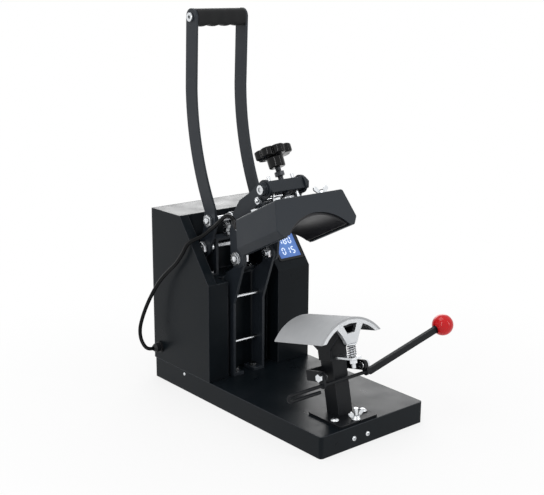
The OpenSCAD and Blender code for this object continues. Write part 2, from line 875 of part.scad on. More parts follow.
// Tie rods between the arms, with the lug that the drive link holds
module arm_ties() {
    color(zinc)
    translate([mech_x, 0, 0]) {
        rod_x(-arm_half, 2 * arm_half, 4, tie_a);
        rod_x(-arm_half, 2 * arm_half, 3, small_tie);
        side_plate(-3, 6) strap(tie_a, link_a, 7, 6.5);
        for (s = [-1, 1]) {
            rod_x(s > 0 ? arm_half + plate_t : -arm_half - plate_t - 3, 3, 6.5, tie_a);
            hex_x(s > 0 ? arm_half + plate_t : -arm_half - plate_t - 5, 5, 10, small_tie);
        }
    }
}

// Trunnion: a cross bar that floats between the arms and carries the head
module trunnion_block() {
    half = arm_half - washer;
    translate([half, hood_mid, trunnion_up])
        rotate([0, -90, 0])
            linear_extrude(2 * half) round_rect(trunnion_d, trunnion_d + 2, 1.5);
}

module trunnion_bar() {
    reach = arm_half + plate_t + washer;
    color(black_coat)
    difference() {
        union() {
            head_frame() trunnion_block();
            translate([mech_x, 0, 0]) {
                rod_x(-reach, 2 * reach, shaft_r, trunnion_t);
                for (s = [-1, 1]) {
                    rod_x(s > 0 ? reach : -reach - 1.2, 1.2, nut_af / 2 + 1.5, trunnion_t);
                    hex_x(s > 0 ? reach : -reach - nut_h, nut_h, nut_af, trunnion_t);
                }
            }
        }
        head_frame() {
            translate([0, hood_mid, trunnion_up - trunnion_d])
                cylinder(h = 2 * trunnion_d, r = spindle_d / 2 + gap);
            for (s = [-1, 1])
                translate([s * guide_dx, hood_mid, trunnion_up - trunnion_d])
                    cylinder(h = 2 * trunnion_d, r = guide_d / 2 + run);
        }
    }
}

// Head
module hood_section(t) {
    polygon([[-hood_top_half + t, -t], [hood_top_half - t, -t], [hood_wide_half - t, shoulder_z],
        [hood_lip_half - t, -hood_h + t], [-hood_lip_half + t, -hood_h + t],
        [-hood_wide_half + t, shoulder_z]]);
}

module arch_cut(y, d) {
    translate([0, y, arch_zc])
        rotate([-90, 0, 0]) cylinder(h = d, r = arch_r, $fn = 128);
}

hood_stud_dx = 42;
hood_stud_y = [22, hood_depth - 22];

module hood() {
    lip_half = sqrt(pow(arch_r, 2) - pow(-hood_h - arch_zc, 2));
    color(black_coat)
    head_frame()
        difference() {
            front_prism(0, hood_depth) hood_section(0);
            front_prism(hood_t, hood_depth - 2 * hood_t) hood_section(hood_t);
            translate([-lip_half, hood_t, -hood_h - 1])
                cube([2 * lip_half, hood_depth - 2 * hood_t, hood_t + 2]);
            arch_cut(-1, hood_depth + 2);
            for (s = [-1, 1], y = hood_stud_y)
                translate([s * hood_stud_dx, y, -hood_t - 1]) cylinder(h = hood_t + 2, r = 3 + seat);
        }
}

// Cast platen with a hollow underside, hung on four studs inside the hood
module heating_platen() {
    half = hood_lip_half - hood_t - 2;
    low = -hood_h + hood_t + 1;
    color(dark_coating)
    head_frame() {
        front_prism(hood_t + 1.5, hood_depth - 2 * hood_t - 3)
            intersection() {
                difference() {
                    translate([0, press_zc]) circle(press_r + press_t, $fn = 128);
                    translate([0, press_zc]) circle(press_r, $fn = 128);
                }
                translate([-half, low]) square([2 * half, -low]);
            }
        for (s = [-1, 1], y = hood_stud_y)
            translate([s * hood_stud_dx, y, stud_base_z]) {
                cylinder(h = -hood_t - stud_base_z, r = 5.5);
                cylinder(h = 8 - stud_base_z, r = 3);
            }
    }
}

stud_base_z = press_zc + sqrt(pow(press_r + press_t, 2) - pow(hood_stud_dx, 2)) - 5;

// Heater rods that lie along the platen's back
module heater_element() {
    r = press_r + press_t + 4;
    runs = [-20, -10, 0, 10, 20];
    color("#8a6f4a")
    head_frame() {
        for (a = runs)
            translate([r * sin(a), 18, press_zc + r * cos(a)])
                rotate([-90, 0, 0]) cylinder(h = hood_depth - 36, r = 3.6);
    }
}

// Hex nuts on three studs, and a plain washer under the wing nut on the fourth
module hood_nuts() {
    color(zinc)
    head_frame()
        for (s = [-1, 1], y = hood_stud_y)
            translate([s * hood_stud_dx, y, 0])
                difference() {
                    union() {
                        cylinder(h = 1, r = 7);
                        if (s < 0 || y > hood_stud_y[0]) translate([0, 0, 1 - eps]) hex_z(10, 5);
                    }
                    translate([0, 0, -1]) cylinder(h = 10, r = 3 + seat);
                }
}

// Wing nut on the stud at the head's front right
module hood_wing_nut() {
    color(zinc)
    head_frame() translate([hood_stud_dx, hood_stud_y[0], 1 + gap]) winged_nut();
}

collar_h = 10;

module swivel_collar() {
    color(zinc)
    head_frame()
        translate([0, hood_mid, 0])
            difference() {
                union() {
                    cylinder(h = 3, r = 16);
                    cylinder(h = collar_h, r = 11);
                }
                translate([0, 0, 1]) cylinder(h = collar_h, r = spindle_d / 2 + run);
            }
}

module guide_rods() {
    color(zinc)
    head_frame()
        for (s = [-1, 1])
            translate([s * guide_dx, hood_mid, 0]) {
                cylinder(h = trunnion_up + trunnion_d / 2 + 8, r = guide_d / 2);
                cylinder(h = 3, r = guide_d / 2 + 2);
            }
}

// Elbow that leads the cable out of the hood's back
module hood_gland() {
    color(black_plastic)
    head_frame() {
        translate([hood_gland_dx, hood_depth, hood_gland_z])
            rotate([-90, 0, 0]) {
                cylinder(h = 3, r = 7);
                cylinder(h = elbow_y - hood_depth, r = 5);
            }
        translate([hood_gland_dx, elbow_y, hood_gland_z]) {
            sphere(5.6);
            rotate([elbow_rise - 90, 0, 0]) cylinder(h = elbow_l, r = 5);
        }
    }
}

// Pressure spindle with its lock nut
module spindle() {
    color(zinc)
    head_frame()
        translate([0, hood_mid, 0]) {
            translate([0, 0, 1 + eps]) cylinder(h = knob_up + 5 - 2 * eps, r = spindle_d / 2);
            translate([0, 0, collar_h + gap]) cylinder(h = 3, r = spindle_d / 2 + 3);
            translate([0, 0, trunnion_up + trunnion_d / 2 + 7]) hex_z(13, 6);
        }
}

knob_h = 12;
hub_h = 16;

module star_knob() {
    lobe_r = 7.5;
    color(black_plastic)
    head_frame()
        translate([0, hood_mid, knob_up])
            difference() {
                union() {
                    linear_extrude(knob_h) {
                        circle(knob_d / 2 - 6);
                        for (i = [0:knob_lobes - 1])
                            rotate(i * 360 / knob_lobes)
                                translate([knob_d / 2 - lobe_r, 0]) circle(lobe_r);
                    }
                    translate([0, 0, knob_h]) cylinder(h = 3, r1 = 12, r2 = 9);
                    translate([0, 0, -hub_h]) cylinder(h = hub_h, r1 = 12, r2 = 11);
                }
                translate([0, 0, -hub_h - 1]) cylinder(h = hub_h + 7 + eps, r = spindle_d / 2 + seat);
            }
}

// Lower platen: a cast half-round shell with a Y web at each end
web_top = -pad_t - shell_t + 1;

module shell_ring(r0, r1, half) {
    low = -pad_r + sqrt(pow(pad_r, 2) - pow(platen_half, 2)) - 1;
    intersection() {
        difference() {
            translate([0, -pad_r]) circle(r1, $fn = 128);
            translate([0, -pad_r]) circle(r0, $fn = 128);
        }
        translate([-half, low]) square([2 * half, -low + 1]);
    }
}

module web_outline() {
    difference() {
        intersection() {
            polygon([[-30, 0], [-23, -14], [-17, -22], [-12.5, -30], [-10, stem_z], [10, stem_z],
                [12.5, -30], [17, -22], [23, -14], [30, 0]]);
            translate([0, -pad_r]) circle(pad_r - pad_t - 1);
        }
        polygon([[-13, -9.5], [0, -8.2], [13, -9.5], [7, -21], [-7, -21]]);
    }
}

module lower_platen() {
    color(aluminium)
    holder_frame() {
        front_prism(0, platen_depth) shell_ring(pad_r - pad_t - shell_t, pad_r - pad_t, platen_half);
        front_prism(0, web_t) web_outline();
        front_prism(platen_depth - web_t, web_t) web_outline();
    }
}

module silicone_pad() {
    color("#e4e3df")
    holder_frame()
        front_prism(0, platen_depth) shell_ring(pad_r - pad_t, pad_r, platen_half);
}

// Support post: a square tube that stands square to the platen, cut level at its foot
module support_post() {
    color(black_coat)
    intersection() {
        holder_frame()
            difference() {
                translate([-post_w / 2, post_front, -250]) cube([post_w, post_d, 250 + head_low]);
                translate([-post_w / 2 + post_wall, post_front + post_wall, -251])
                    cube([post_w - 2 * post_wall, post_d - 2 * post_wall, 300]);
            }
        translate([-200, -300, foot_top]) cube([400, 400, 300]);
    }
}

head_low = -22;

// Saddle plates between the post and the platen's underside
module post_head() {
    top = -pad_r + sqrt(pow(pad_r - pad_t - shell_t, 2) - pow(post_w / 2 + 3, 2)) - 0.1;
    color(black_coat)
    holder_frame() {
        for (s = [-1, 1])
            side_plate(s > 0 ? post_w / 2 : -post_w / 2 - 3, 3)
                polygon([[web_t + 0.2, top], [platen_depth - web_t - 0.2, top],
                    [platen_depth - web_t - 0.2, top - 8], [post_rear, -46], [post_rear, -60],
                    [post_front, -60], [post_front, -46], [web_t + 0.2, top - 8]]);
        translate([-post_w / 2 - eps, web_t + 0.2, top - 3])
            cube([post_w + 2 * eps, platen_depth - 2 * web_t - 0.4, 3]);
    }
}

// Foot plate with three slots, so that the post can be set forwards or back
module post_foot() {
    color(black_coat)
    translate([0, 0, tray_h])
        linear_extrude(foot_t)
            difference() {
                translate([mech_x, (foot_y0 + foot_y1) / 2]) round_rect(2 * foot_half, foot_y1 - foot_y0, 4);
                for (p = foot_bolt_places())
                    strap([p[0], p[1] - slot_travel], [p[0], p[1] + slot_travel + 0.001], 3.4, 3.4);
            }
}

// Cap screws in the foot's side slots, and the stud under the wing nut
module foot_bolts() {
    color(zinc)
    for (i = [0:2])
        let (p = foot_bolt_places()[i])
            translate([p[0], p[1], tray_h - tray_wall]) {
                cylinder(h = tray_wall + foot_t + (i < 2 ? gap + eps : 16), r = 3);
                if (i < 2) translate([0, 0, tray_wall + foot_t + gap]) pan_head(12, 3.5);
            }
}

module winged_nut() {
    difference() {
        union() {
            cylinder(h = 5, r1 = 7, r2 = 5.2);
            for (s = [-1, 1])
                scale_side(s)
                    translate([0, 1.1, 0])
                        rotate([90, 0, 0])
                            linear_extrude(2.2) strap([4, 2.5], [10, 8.5], 2.4, 3.6);
        }
        translate([0, 0, -1]) cylinder(h = 20, r = 3 + run);
    }
}

module wing_nut() {
    color(zinc) translate([mech_x, wing_y, foot_top + gap]) winged_nut();
}

// Stud and nut under the front web, held by a tab on the post
stud_y = web_t / 2;
tab_t = 3;

module platen_stud() {
    color(zinc)
    holder_frame() {
        difference() {
            translate([-9, stud_y - 8, tab_z]) cube([18, post_front - stud_y + 8, tab_t]);
            translate([0, stud_y, tab_z - 1]) cylinder(h = tab_t + 2, r = 3 + seat);
        }
        translate([0, stud_y, tab_z - 13]) cylinder(h = stem_z - tab_z + 13, r = 3);
        translate([0, stud_y, tab_z - 6]) hex_z(10, 6);
        translate([0, stud_y, stem_z - 1.5]) cylinder(h = 1.5, r = 8);
    }
}

// Coil spring round the stud, wound as one unbroken wire
spring_turns = 5;
spring_wire = 1.6;
spring_r = 5.6;
spring_steps = 8;

module stud_spring() {
    z0 = tab_z + tab_t + spring_wire / 2;
    z1 = stem_z - 1.5 - spring_wire / 2;
    n = spring_turns * spring_steps;
    points = [for (i = [0:n])
        let (a = 360 * i / spring_steps)
        [spring_r * cos(a), stud_y + spring_r * sin(a), z0 + (z1 - z0) * i / n]];
    near = min([for (i = [0:n], j = [i + spring_steps / 2:n]) norm(points[i] - points[j])]);
    echo(str("stud spring: least gap between turns ", near - spring_wire, " mm"));
    color(zinc)
    holder_frame() tube(points, spring_wire, 6);
}

// Hold-down lever: a strap behind the post carries the ears that it turns in
module lever_bracket() {
    ear_t = 3;
    color(black_coat)
    holder_frame() {
        translate([-ear_half - ear_t, post_rear, -lever_down - 7.5]) cube([2 * (ear_half + ear_t), 3, 15]);
        for (s = [-1, 1])
            difference() {
                side_plate(s > 0 ? ear_half : -ear_half - ear_t, ear_t) {
                    translate([lever_back, -lever_down]) circle(7.5);
                    translate([lever_back, -lever_down - 7.5]) square([post_rear + 3 - lever_back, 15]);
                }
                rod_x(s > 0 ? ear_half - 1 : -ear_half - ear_t - 1, ear_t + 2, 3 + run,
                    [lever_back, -lever_down]);
            }
    }
}

arm_in = ear_half + 3 + gap;

// Bail: end plates on the pivot bolts, the bar across the front and the hook on the left
module bail() {
    hook_end = -100;
    turn_r = 4;
    axis = [lever_back, -lever_down];
    low = [bail_y, bail_z];
    color(black_coat)
    holder_frame() {
        for (s = [-1, 1])
            difference() {
                side_plate(s > 0 ? arm_in : -arm_in - lever_arm_t, lever_arm_t) strap(axis, low, 6.5, 5);
                rod_x(s > 0 ? arm_in - 1 : -arm_in - lever_arm_t - 1, lever_arm_t + 2, 3 + seat, axis);
            }
        rod_x(hook_end, arm_in + lever_arm_t - hook_end, wire_r, low);
        translate([hook_end, bail_y, bail_z - turn_r])
            rotate([90, -90, 0])
                rotate_extrude(angle = 180) translate([turn_r, 0]) circle(wire_r);
        rod_x(hook_end, 52, wire_r, low - [0, 2 * turn_r]);
    }
}

// Flat bar that rises from the bail's right end to the ball
bar_knee = [lever_root_x + 6, bail_c[1], bail_c[2]];
bar_v = ball_c - bar_knee;
bar_yaw = atan2(bar_v[1], bar_v[0]);
bar_pitch = atan2(bar_v[2], norm([bar_v[0], bar_v[1]]));

module lever_bar() {
    color(black_coat) {
        translate([lever_root_x, bail_c[1], bail_c[2]])
            rotate([0, 90, 0]) cylinder(h = 6, r = wire_r + 0.7);
        translate(bar_knee)
            rotate([0, -bar_pitch, bar_yaw])
                translate([0, 2.5, 0])
                    rotate([90, 0, 0])
                        linear_extrude(5)
                            union() {
                                circle(5);
                                translate([0, -5]) square([norm(bar_v) - ball_d / 2 + 3, 10]);
                            }
    }
}

// Ball with a flat-bottomed hole that takes the bar's end
module ball_knob() {
    color("#c3161c")
    difference() {
        translate(ball_c) sphere(ball_d / 2, $fn = 96);
        translate(bar_knee)
            rotate([0, 90 - bar_pitch, bar_yaw])
                translate([0, 0, norm(bar_v) - ball_d / 2 - 3]) cylinder(h = 6, r = 6.2);
    }
}

module lever_bolts() {
    axis = [lever_back, -lever_down];
    color(zinc)
    holder_frame()
        for (s = [-1, 1]) {
            x_in = ear_half - gap;
            reach = arm_in + lever_arm_t - x_in;
            rod_x(s > 0 ? x_in : -x_in - reach, reach, 3, axis);
            hex_x(s > 0 ? arm_in + lever_arm_t : -arm_in - lever_arm_t - 4.5, 4.5, 10, axis);
            rod_x(s > 0 ? x_in - 2 : -x_in, 2, 5, axis);
        }
}

base_tray();
base_plate();
frame_screws();
housing();
rear_panel();
display_bezel();
display_screen();
control_board();
power_inlet();
cable_gland();
head_cable_lower();
tower_left();
tower_right();
tower_rods();
frame_bolts();
pivot_bolts();
handle_bracket();
stop_bolt();
handle_shaft();
foot_bolts();
handle_bar_left();
handle_bar_right();
crank_plates();
cross_shaft();
handle_grip();
grip_screws();
drive_link();
link_pins();
arm_left();
arm_right();
arm_ties();
head_cable_upper();
trunnion_bar();
hood();
heating_platen();
heater_element();
hood_nuts();
hood_wing_nut();
swivel_collar();
guide_rods();
hood_gland();
spindle();
star_knob();
lower_platen();
silicone_pad();
support_post();
post_head();
post_foot();
platen_stud();
stud_spring();
lever_bracket();
bail();
lever_bar();
ball_knob();
lever_bolts();
wing_nut();
key_left();
key_middle();
key_right();
power_rocker();
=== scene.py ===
# %% [markdown]
# # A cap heat press
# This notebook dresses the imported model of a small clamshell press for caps. The steel frame,
# the housing, the two-bar lever and the platens come from the model with their true sizes.
# What is added here is what a maker would see up close: powder coat with its fine orange peel,
# zinc-plated bolts with threaded ends, the rounded folds of the hood, a moulded star knob, a
# grip with finger waves, the heater lead, cross-head screws and the numbers on the display.

import bpy
import numpy as np
from mathutils import Matrix, Vector


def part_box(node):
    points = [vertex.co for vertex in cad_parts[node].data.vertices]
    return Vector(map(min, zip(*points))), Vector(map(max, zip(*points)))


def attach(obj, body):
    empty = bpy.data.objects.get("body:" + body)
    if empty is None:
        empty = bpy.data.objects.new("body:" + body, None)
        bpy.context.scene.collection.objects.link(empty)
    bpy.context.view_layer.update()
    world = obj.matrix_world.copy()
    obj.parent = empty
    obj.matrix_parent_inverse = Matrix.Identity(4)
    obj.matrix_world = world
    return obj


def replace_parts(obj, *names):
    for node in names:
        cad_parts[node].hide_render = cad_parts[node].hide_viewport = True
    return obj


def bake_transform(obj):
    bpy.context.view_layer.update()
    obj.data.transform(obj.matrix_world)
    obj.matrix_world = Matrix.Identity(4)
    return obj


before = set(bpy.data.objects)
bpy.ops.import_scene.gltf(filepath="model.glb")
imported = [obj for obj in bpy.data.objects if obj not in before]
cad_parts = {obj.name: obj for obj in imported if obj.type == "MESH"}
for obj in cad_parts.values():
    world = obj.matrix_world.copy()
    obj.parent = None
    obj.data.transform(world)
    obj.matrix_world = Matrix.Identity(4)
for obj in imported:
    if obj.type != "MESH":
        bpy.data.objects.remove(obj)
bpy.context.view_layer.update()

MM = 0.001  # shapes are worked out in millimetres, and the scene is in metres
MID_X = -24.0  # the moving parts stand 24 mm left of the base's middle, beside the controller
HEAD_TILT = np.radians(26.2)  # the open head leans back by this

# %% [markdown]
# ## The camera
# The photograph looks down at the press from its front left, from about 1.6 m away with a long
# lens. The position and the three axes were fitted to the straight edges of the base and the
# housing. The camera's own axes are right, up and back, so they form the columns of its matrix.

# %% Camera
FOCAL_PX, WIDTH_PX, SENSOR_MM = 1041.86, 544, 36.0

eye = np.array([-0.9741, -1.1454, 0.6256])
up = np.array([0.15492, 0.19516, 0.96846])
back = np.array([-0.61953, -0.74439, 0.24911])
view_matrix = Matrix.Identity(4)
for column, axis in enumerate((np.cross(up, back), up, back, eye)):
    for row in range(3):
        view_matrix[row][column] = float(axis[row])

camera_data = bpy.data.cameras.new("product_camera")
camera_data.sensor_width = SENSOR_MM
camera_data.lens = FOCAL_PX / WIDTH_PX * SENSOR_MM
camera = bpy.data.objects.new("product_camera", camera_data)
bpy.context.scene.collection.objects.link(camera)
camera.matrix_world = view_matrix
bpy.context.scene.camera = camera
print("lens", round(camera_data.lens, 2), "mm")

# %% [markdown]
# ## Colours and shader nodes
# Colours are written the way a paint chart gives them, as sRGB hex, and turned into the linear
# numbers that a shader works with. Every finish is a small tree of nodes, and one helper adds a
# node with its settings and its links.


# %% Colour and node helpers
def linear(hex_colour):
    """An sRGB hex colour as linear red, green, blue and alpha: each channel goes through the
    sRGB curve, ((c + 0.055) / 1.055) to the power 2.4 above 0.04."""
    c = np.array([int(hex_colour[i : i + 2], 16) / 255 for i in (1, 3, 5)])
    c = np.where(c <= 0.04045, c / 12.92, ((c + 0.055) / 1.055) ** 2.4)
    return (*c.tolist(), 1.0)


def add(tree, kind, links=None, values=None, **settings):
    """Adds a shader node. Links map a socket to the output that feeds it, values map a socket's
    number to what it holds, and settings are the node's properties or its sockets' values."""
    made = tree.nodes.new(kind)
    for name, value in settings.items():
        label = name.replace("_", " ")
        socket = next((s for s in made.inputs if s.name.lower() == label), None)
        if socket is None:
            setattr(made, name, value)
        else:
            socket.default_value = value
    for number, value in (values or {}).items():
        made.inputs[number].default_value = value
    for name, source in (links or {}).items():
        tree.links.new(source, made.inputs[name])
    return made


def new_material(name):
    """An empty node material: itself, its tree, its output and object coordinates in metres."""
    material = bpy.data.materials.new(name)
    material.use_nodes = True
    tree = material.node_tree
    tree.nodes.clear()
    output = add(tree, "ShaderNodeOutputMaterial")
    return material, tree, output, add(tree, "ShaderNodeTexCoord").outputs["Object"]


# %% [markdown]
# ## Powder coat
# The base, the housing, the arms and the hood are steel sheet with a baked polyester powder
# coat. The housing and the base are a deep black that reflects little except at a grazing angle,
# where their tops turn almost silver. The moving frame parts and the hood are a slightly bluer
# and lighter black, and the platen's post is a plain satin black. All have an orange peel of
# about a millimetre where the powder flowed, haze in their gloss, and a thin line of painted
# highlight on their edges: a paler colour where a bevel node finds an edge.


# %% Powder coat
def powder_coat(name, colour, roughness, specular, edge_mm):
    """Polyester powder on steel: a dark dielectric with an orange peel of 1.1 mm and haze of
    38 mm, and a painted highlight, a paler line, where the surface turns. The turn is found by
    comparing the rounded normal of a bevel node with the true one: the line starts at 6 degrees
    between them, whose cosine is 0.995, and is full at 31 degrees, or 0.86."""
    material, tree, output, place = new_material(name)
    peel = add(tree, "ShaderNodeTexNoise", {"Vector": place}, scale=1 / (1.1 * MM), detail=1.5)
    haze = add(tree, "ShaderNodeTexNoise", {"Vector": place}, scale=1 / (38 * MM), detail=5.0)
    edge = add(tree, "ShaderNodeBevel", radius=edge_mm * MM, samples=6)
    bump = add(tree, "ShaderNodeBump", {"Height": peel.outputs[0], "Normal": edge.outputs[0]},
               strength=0.14, distance=0.08 * MM)
    flat = add(tree, "ShaderNodeNewGeometry")
    agree = add(tree, "ShaderNodeVectorMath", {0: edge.outputs[0], 1: flat.outputs["Normal"]},
                operation="DOT_PRODUCT")
    # painted highlight: the edges get a paler colour where the bevel's rounded normal turns away
    # from the true one
    edge_highlight_mask = add(tree, "ShaderNodeMapRange", {"Value": agree.outputs["Value"]},
               from_min=0.995, from_max=0.86, to_min=0.0, to_max=0.6)
    thick = (*(1.4 * c for c in linear(colour)[:3]), 1.0)
    tone = add(tree, "ShaderNodeMix", {0: haze.outputs[0]}, {6: linear(colour), 7: thick},
               data_type="RGBA")
    edge_highlighted_tone = add(tree, "ShaderNodeMix", {0: edge_highlight_mask.outputs[0], 6: tone.outputs[2]},
                {7: linear("#5a5d62")}, data_type="RGBA")
    rough = add(tree, "ShaderNodeMapRange", {"Value": haze.outputs[0]}, from_min=0.3,
                from_max=0.7, to_min=roughness - 0.05, to_max=roughness + 0.07)
    surface = add(tree, "ShaderNodeBsdfPrincipled",
                  {"Base Color": edge_highlighted_tone.outputs[2], "Roughness": rough.outputs[0],
                   "Normal": bump.outputs[0]}, specular_ior_level=specular)
    tree.links.new(surface.outputs[0], output.inputs[0])
    return material


coat_case = powder_coat("deep_black_powder_coat", "#0e1317", 0.32, 0.1, 1.8)
coat_frame = powder_coat("blue_black_powder_coat", "#1d2228", 0.45, 0.28, 0.6)
coat_post = powder_coat("satin_black_powder_coat", "#121417", 0.42, 0.16, 0.6)
print("coats", coat_case.name, coat_frame.name, coat_post.name)

# %% [markdown]
# ## Bright zinc
# Nuts, bolts and rods are steel with a clear zinc plating: a light metal with a slightly cloudy
# gloss from the passivation bath, and painted shade in the corners that an ambient occlusion
# node finds. The rods deep in the mechanism get the same painted shade over a wider reach. The
# spindle's thread is cut at 1.25 mm, which is too fine to show in the picture, so its wave is
# drawn at 1.6 mm along the spindle's own axis.


# %% Zinc
def zinc_plate(name, colour, roughness, thread_mm=None, lean=0.0, shade_reach_mm=4.0):
    """Zinc on steel: a metal with cloudy roughness of 6 mm, painted shade in corners up to
    shade_reach_mm wide, and a thread of a given pitch. The painted shade starts where 0.15 of the
    view outwards is blocked and is full at 0.65. A wave texture repeats after pi / 10 over its
    scale."""
    material, tree, output, place = new_material(name)
    cloud = add(tree, "ShaderNodeTexNoise", {"Vector": place}, scale=1 / (6 * MM), detail=3.0)
    rough = add(tree, "ShaderNodeMapRange", {"Value": cloud.outputs[0]},
                to_min=roughness - 0.08, to_max=roughness + 0.1)
    normal = add(tree, "ShaderNodeBevel", radius=0.35 * MM, samples=4).outputs[0]
    if thread_mm:
        turned = add(tree, "ShaderNodeMapping", {"Vector": place}, vector_type="POINT",
                     rotation=(lean, 0, 0))
        wave = add(tree, "ShaderNodeTexWave", {"Vector": turned.outputs[0]}, wave_type="BANDS",
                   bands_direction="Z", wave_profile="TRI", scale=np.pi / (10 * thread_mm * MM))
        normal = add(tree, "ShaderNodeBump", {"Height": wave.outputs[1], "Normal": normal},
                     strength=0.9, distance=0.45 * MM).outputs[0]
    # painted shade: a dark grey takes over in corners and between parts, where the ambient
    # occlusion finds little open view
    occlusion_node = add(tree, "ShaderNodeAmbientOcclusion", samples=8, distance=shade_reach_mm * MM)
    painted_shade_mask = add(tree, "ShaderNodeMapRange", {"Value": occlusion_node.outputs["AO"]}, from_min=0.35,
                from_max=0.85)
    tone = add(tree, "ShaderNodeMix", {0: painted_shade_mask.outputs[0]},
               {6: linear("#2e2f31"), 7: linear(colour)}, data_type="RGBA")
    surface = add(tree, "ShaderNodeBsdfPrincipled",
                  {"Base Color": tone.outputs[2], "Roughness": rough.outputs[0],
                   "Normal": normal}, metallic=1.0)
    tree.links.new(surface.outputs[0], output.inputs[0])
    return material


zinc = zinc_plate("bright_zinc_plate", "#dcdfe2", 0.24)
zinc_thread = zinc_plate("dark_rolled_thread", "#5c5e62", 0.26, thread_mm=1.6, lean=HEAD_TILT)
# painted shade: the wide reach darkens the rods that sit inside the housing's recess
recess_shaded_steel = zinc_plate("recess_shaded_bright_steel", "#d2d5d8", 0.24, shade_reach_mm=32.0)
spring_steel = zinc_plate("zinc_plated_spring_wire", "#b9bcc0", 0.3)
print("metals", zinc.name, zinc_thread.name, recess_shaded_steel.name, spring_steel.name)

# %% [markdown]
# ## Plastics, rubber, aluminium and the rest
# Each of these is one dielectric or metal with its own colour, gloss and grain. Moulded ABS has
# a spark-eroded texture of about half a millimetre. Phenolic, which the ball and the star knob
# are pressed from, is smooth and glossy. The heater lead has a silicone jacket. The upper platen
# is cast aluminium with a dark release coating, and the lower one is bare cast aluminium with a
# fine sand texture. The heater's steel sheath is tinted brown where it gets hot.


# %% Moulded and cast finishes
def finish(name, colour, second, roughness, grain_mm, relief, metallic=0.0, specular=0.5):
    """One finish with a grain of a real size: a noise drives the bump, and a coarser one, of
    12 mm, shifts the colour between two tones and the roughness by 15 in 100."""
    material, tree, output, place = new_material(name)
    grain = add(tree, "ShaderNodeTexNoise", {"Vector": place}, scale=1 / (grain_mm * MM),
                detail=2.0)
    blotch = add(tree, "ShaderNodeTexNoise", {"Vector": place}, scale=1 / (12 * MM), detail=3.0)
    tone = add(tree, "ShaderNodeMix", {0: blotch.outputs[0]},
               {6: linear(colour), 7: linear(second)}, data_type="RGBA")
    edge = add(tree, "ShaderNodeBevel", radius=0.4 * MM, samples=4)
    bump = add(tree, "ShaderNodeBump", {"Height": grain.outputs[0], "Normal": edge.outputs[0]},
               strength=relief, distance=0.1 * MM)
    rough = add(tree, "ShaderNodeMapRange", {"Value": blotch.outputs[0]},
                to_min=roughness * 0.85, to_max=roughness * 1.15)
    surface = add(tree, "ShaderNodeBsdfPrincipled",
                  {"Base Color": tone.outputs[2], "Roughness": rough.outputs[0],
                   "Normal": bump.outputs[0]}, metallic=metallic, specular_ior_level=specular)
    tree.links.new(surface.outputs[0], output.inputs[0])
    return material


# %% Plastics, rubber, aluminium and the rest
abs_black = finish("moulded_black_abs", "#0f1012", "#141518", 0.45, 0.5, 0.2, specular=0.28)
grip_rubber = finish("moulded_grip_rubber", "#101112", "#161719", 0.62, 0.7, 0.3, specular=0.22)
phenolic_black = finish("pressed_black_phenolic", "#050506", "#08080a", 0.12, 2.5, 0.03,
                        specular=0.22)
phenolic_red = finish("pressed_red_phenolic", "#c4141b", "#cf1d22", 0.16, 2.5, 0.02,
                      specular=0.25)
jacket = finish("black_silicone_jacket", "#060708", "#0a0b0d", 0.2, 0.8, 0.1, specular=0.12)
cast_aluminium = finish("sand_cast_aluminium", "#c9cbcd", "#b7babd", 0.42, 0.6, 0.35,
                        metallic=1.0)
release_coat = finish("dark_release_coating", "#17171a", "#1f1f23", 0.34, 0.5, 0.15,
                      specular=0.32)
pad_silicone = finish("pressed_silicone_pad", "#b4b6b8", "#abadb0", 0.7, 0.6, 0.25,
                      specular=0.35)
heater_sheath = finish("heat_tinted_steel_sheath", "#8d7659", "#6c6a70", 0.35, 1.5, 0.1,
                       metallic=1.0)
key_plastic = finish("moulded_grey_key", "#c6c9cc", "#bfc2c6", 0.45, 0.4, 0.1)
rocker_plastic = finish("glossy_red_rocker", "#a81a1c", "#b52023", 0.2, 1.0, 0.03)
board_resin = finish("green_board_resin", "#1c5a37", "#1f633d", 0.4, 0.6, 0.05)
print("materials", len(bpy.data.materials))

# %% [markdown]
# ## Dressing the model's own pieces
# Most pieces are the model's own, and only get their finish. Folded sheet has a bend radius, and
# a nut or a bolt head has its corners turned off, so a Weld joins the loose triangles of those
# pieces and a Bevel rounds their edges. A Bevel can be changed or taken away at any time, which
# is why it was chosen here over new meshes.

# %% Finishes and rounded edges
worn_by = {
    coat_case: ["base_tray", "housing", "rear_panel"],
    coat_frame: ["hood", "tower_left", "tower_right", "handle_bracket", "handle_bar_left",
                 "handle_bar_right", "crank_plates", "drive_link", "arm_left", "arm_right",
                 "trunnion_bar"],
    coat_post: ["support_post", "post_head", "post_foot", "lever_bracket", "bail", "lever_bar"],
    zinc: ["base_plate", "frame_screws", "pivot_bolts", "foot_bolts", "grip_screws", "arm_ties",
           "hood_nuts", "hood_wing_nut", "guide_rods", "platen_stud", "lever_bolts", "wing_nut",
           "handle_shaft", "cross_shaft"],
    recess_shaded_steel: ["tower_rods", "frame_bolts", "stop_bolt", "link_pins", "swivel_collar"],
    zinc_thread: ["spindle"],
    spring_steel: ["stud_spring"],
    abs_black: ["display_bezel", "power_inlet", "cable_gland", "hood_gland"],
    grip_rubber: ["handle_grip"],
    jacket: ["head_cable_lower", "head_cable_upper"],
    phenolic_black: ["star_knob"],
    phenolic_red: ["ball_knob"],
    cast_aluminium: ["lower_platen"],
    release_coat: ["heating_platen"],
    pad_silicone: ["silicone_pad"],
    heater_sheath: ["heater_element"],
    key_plastic: ["key_left", "key_middle", "key_right"],
    rocker_plastic: ["power_rocker"],
    board_resin: ["control_board"],
}
for material, names in worn_by.items():
    for name in names:
        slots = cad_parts[name].data.materials
        slots.clear()
        slots.append(material)

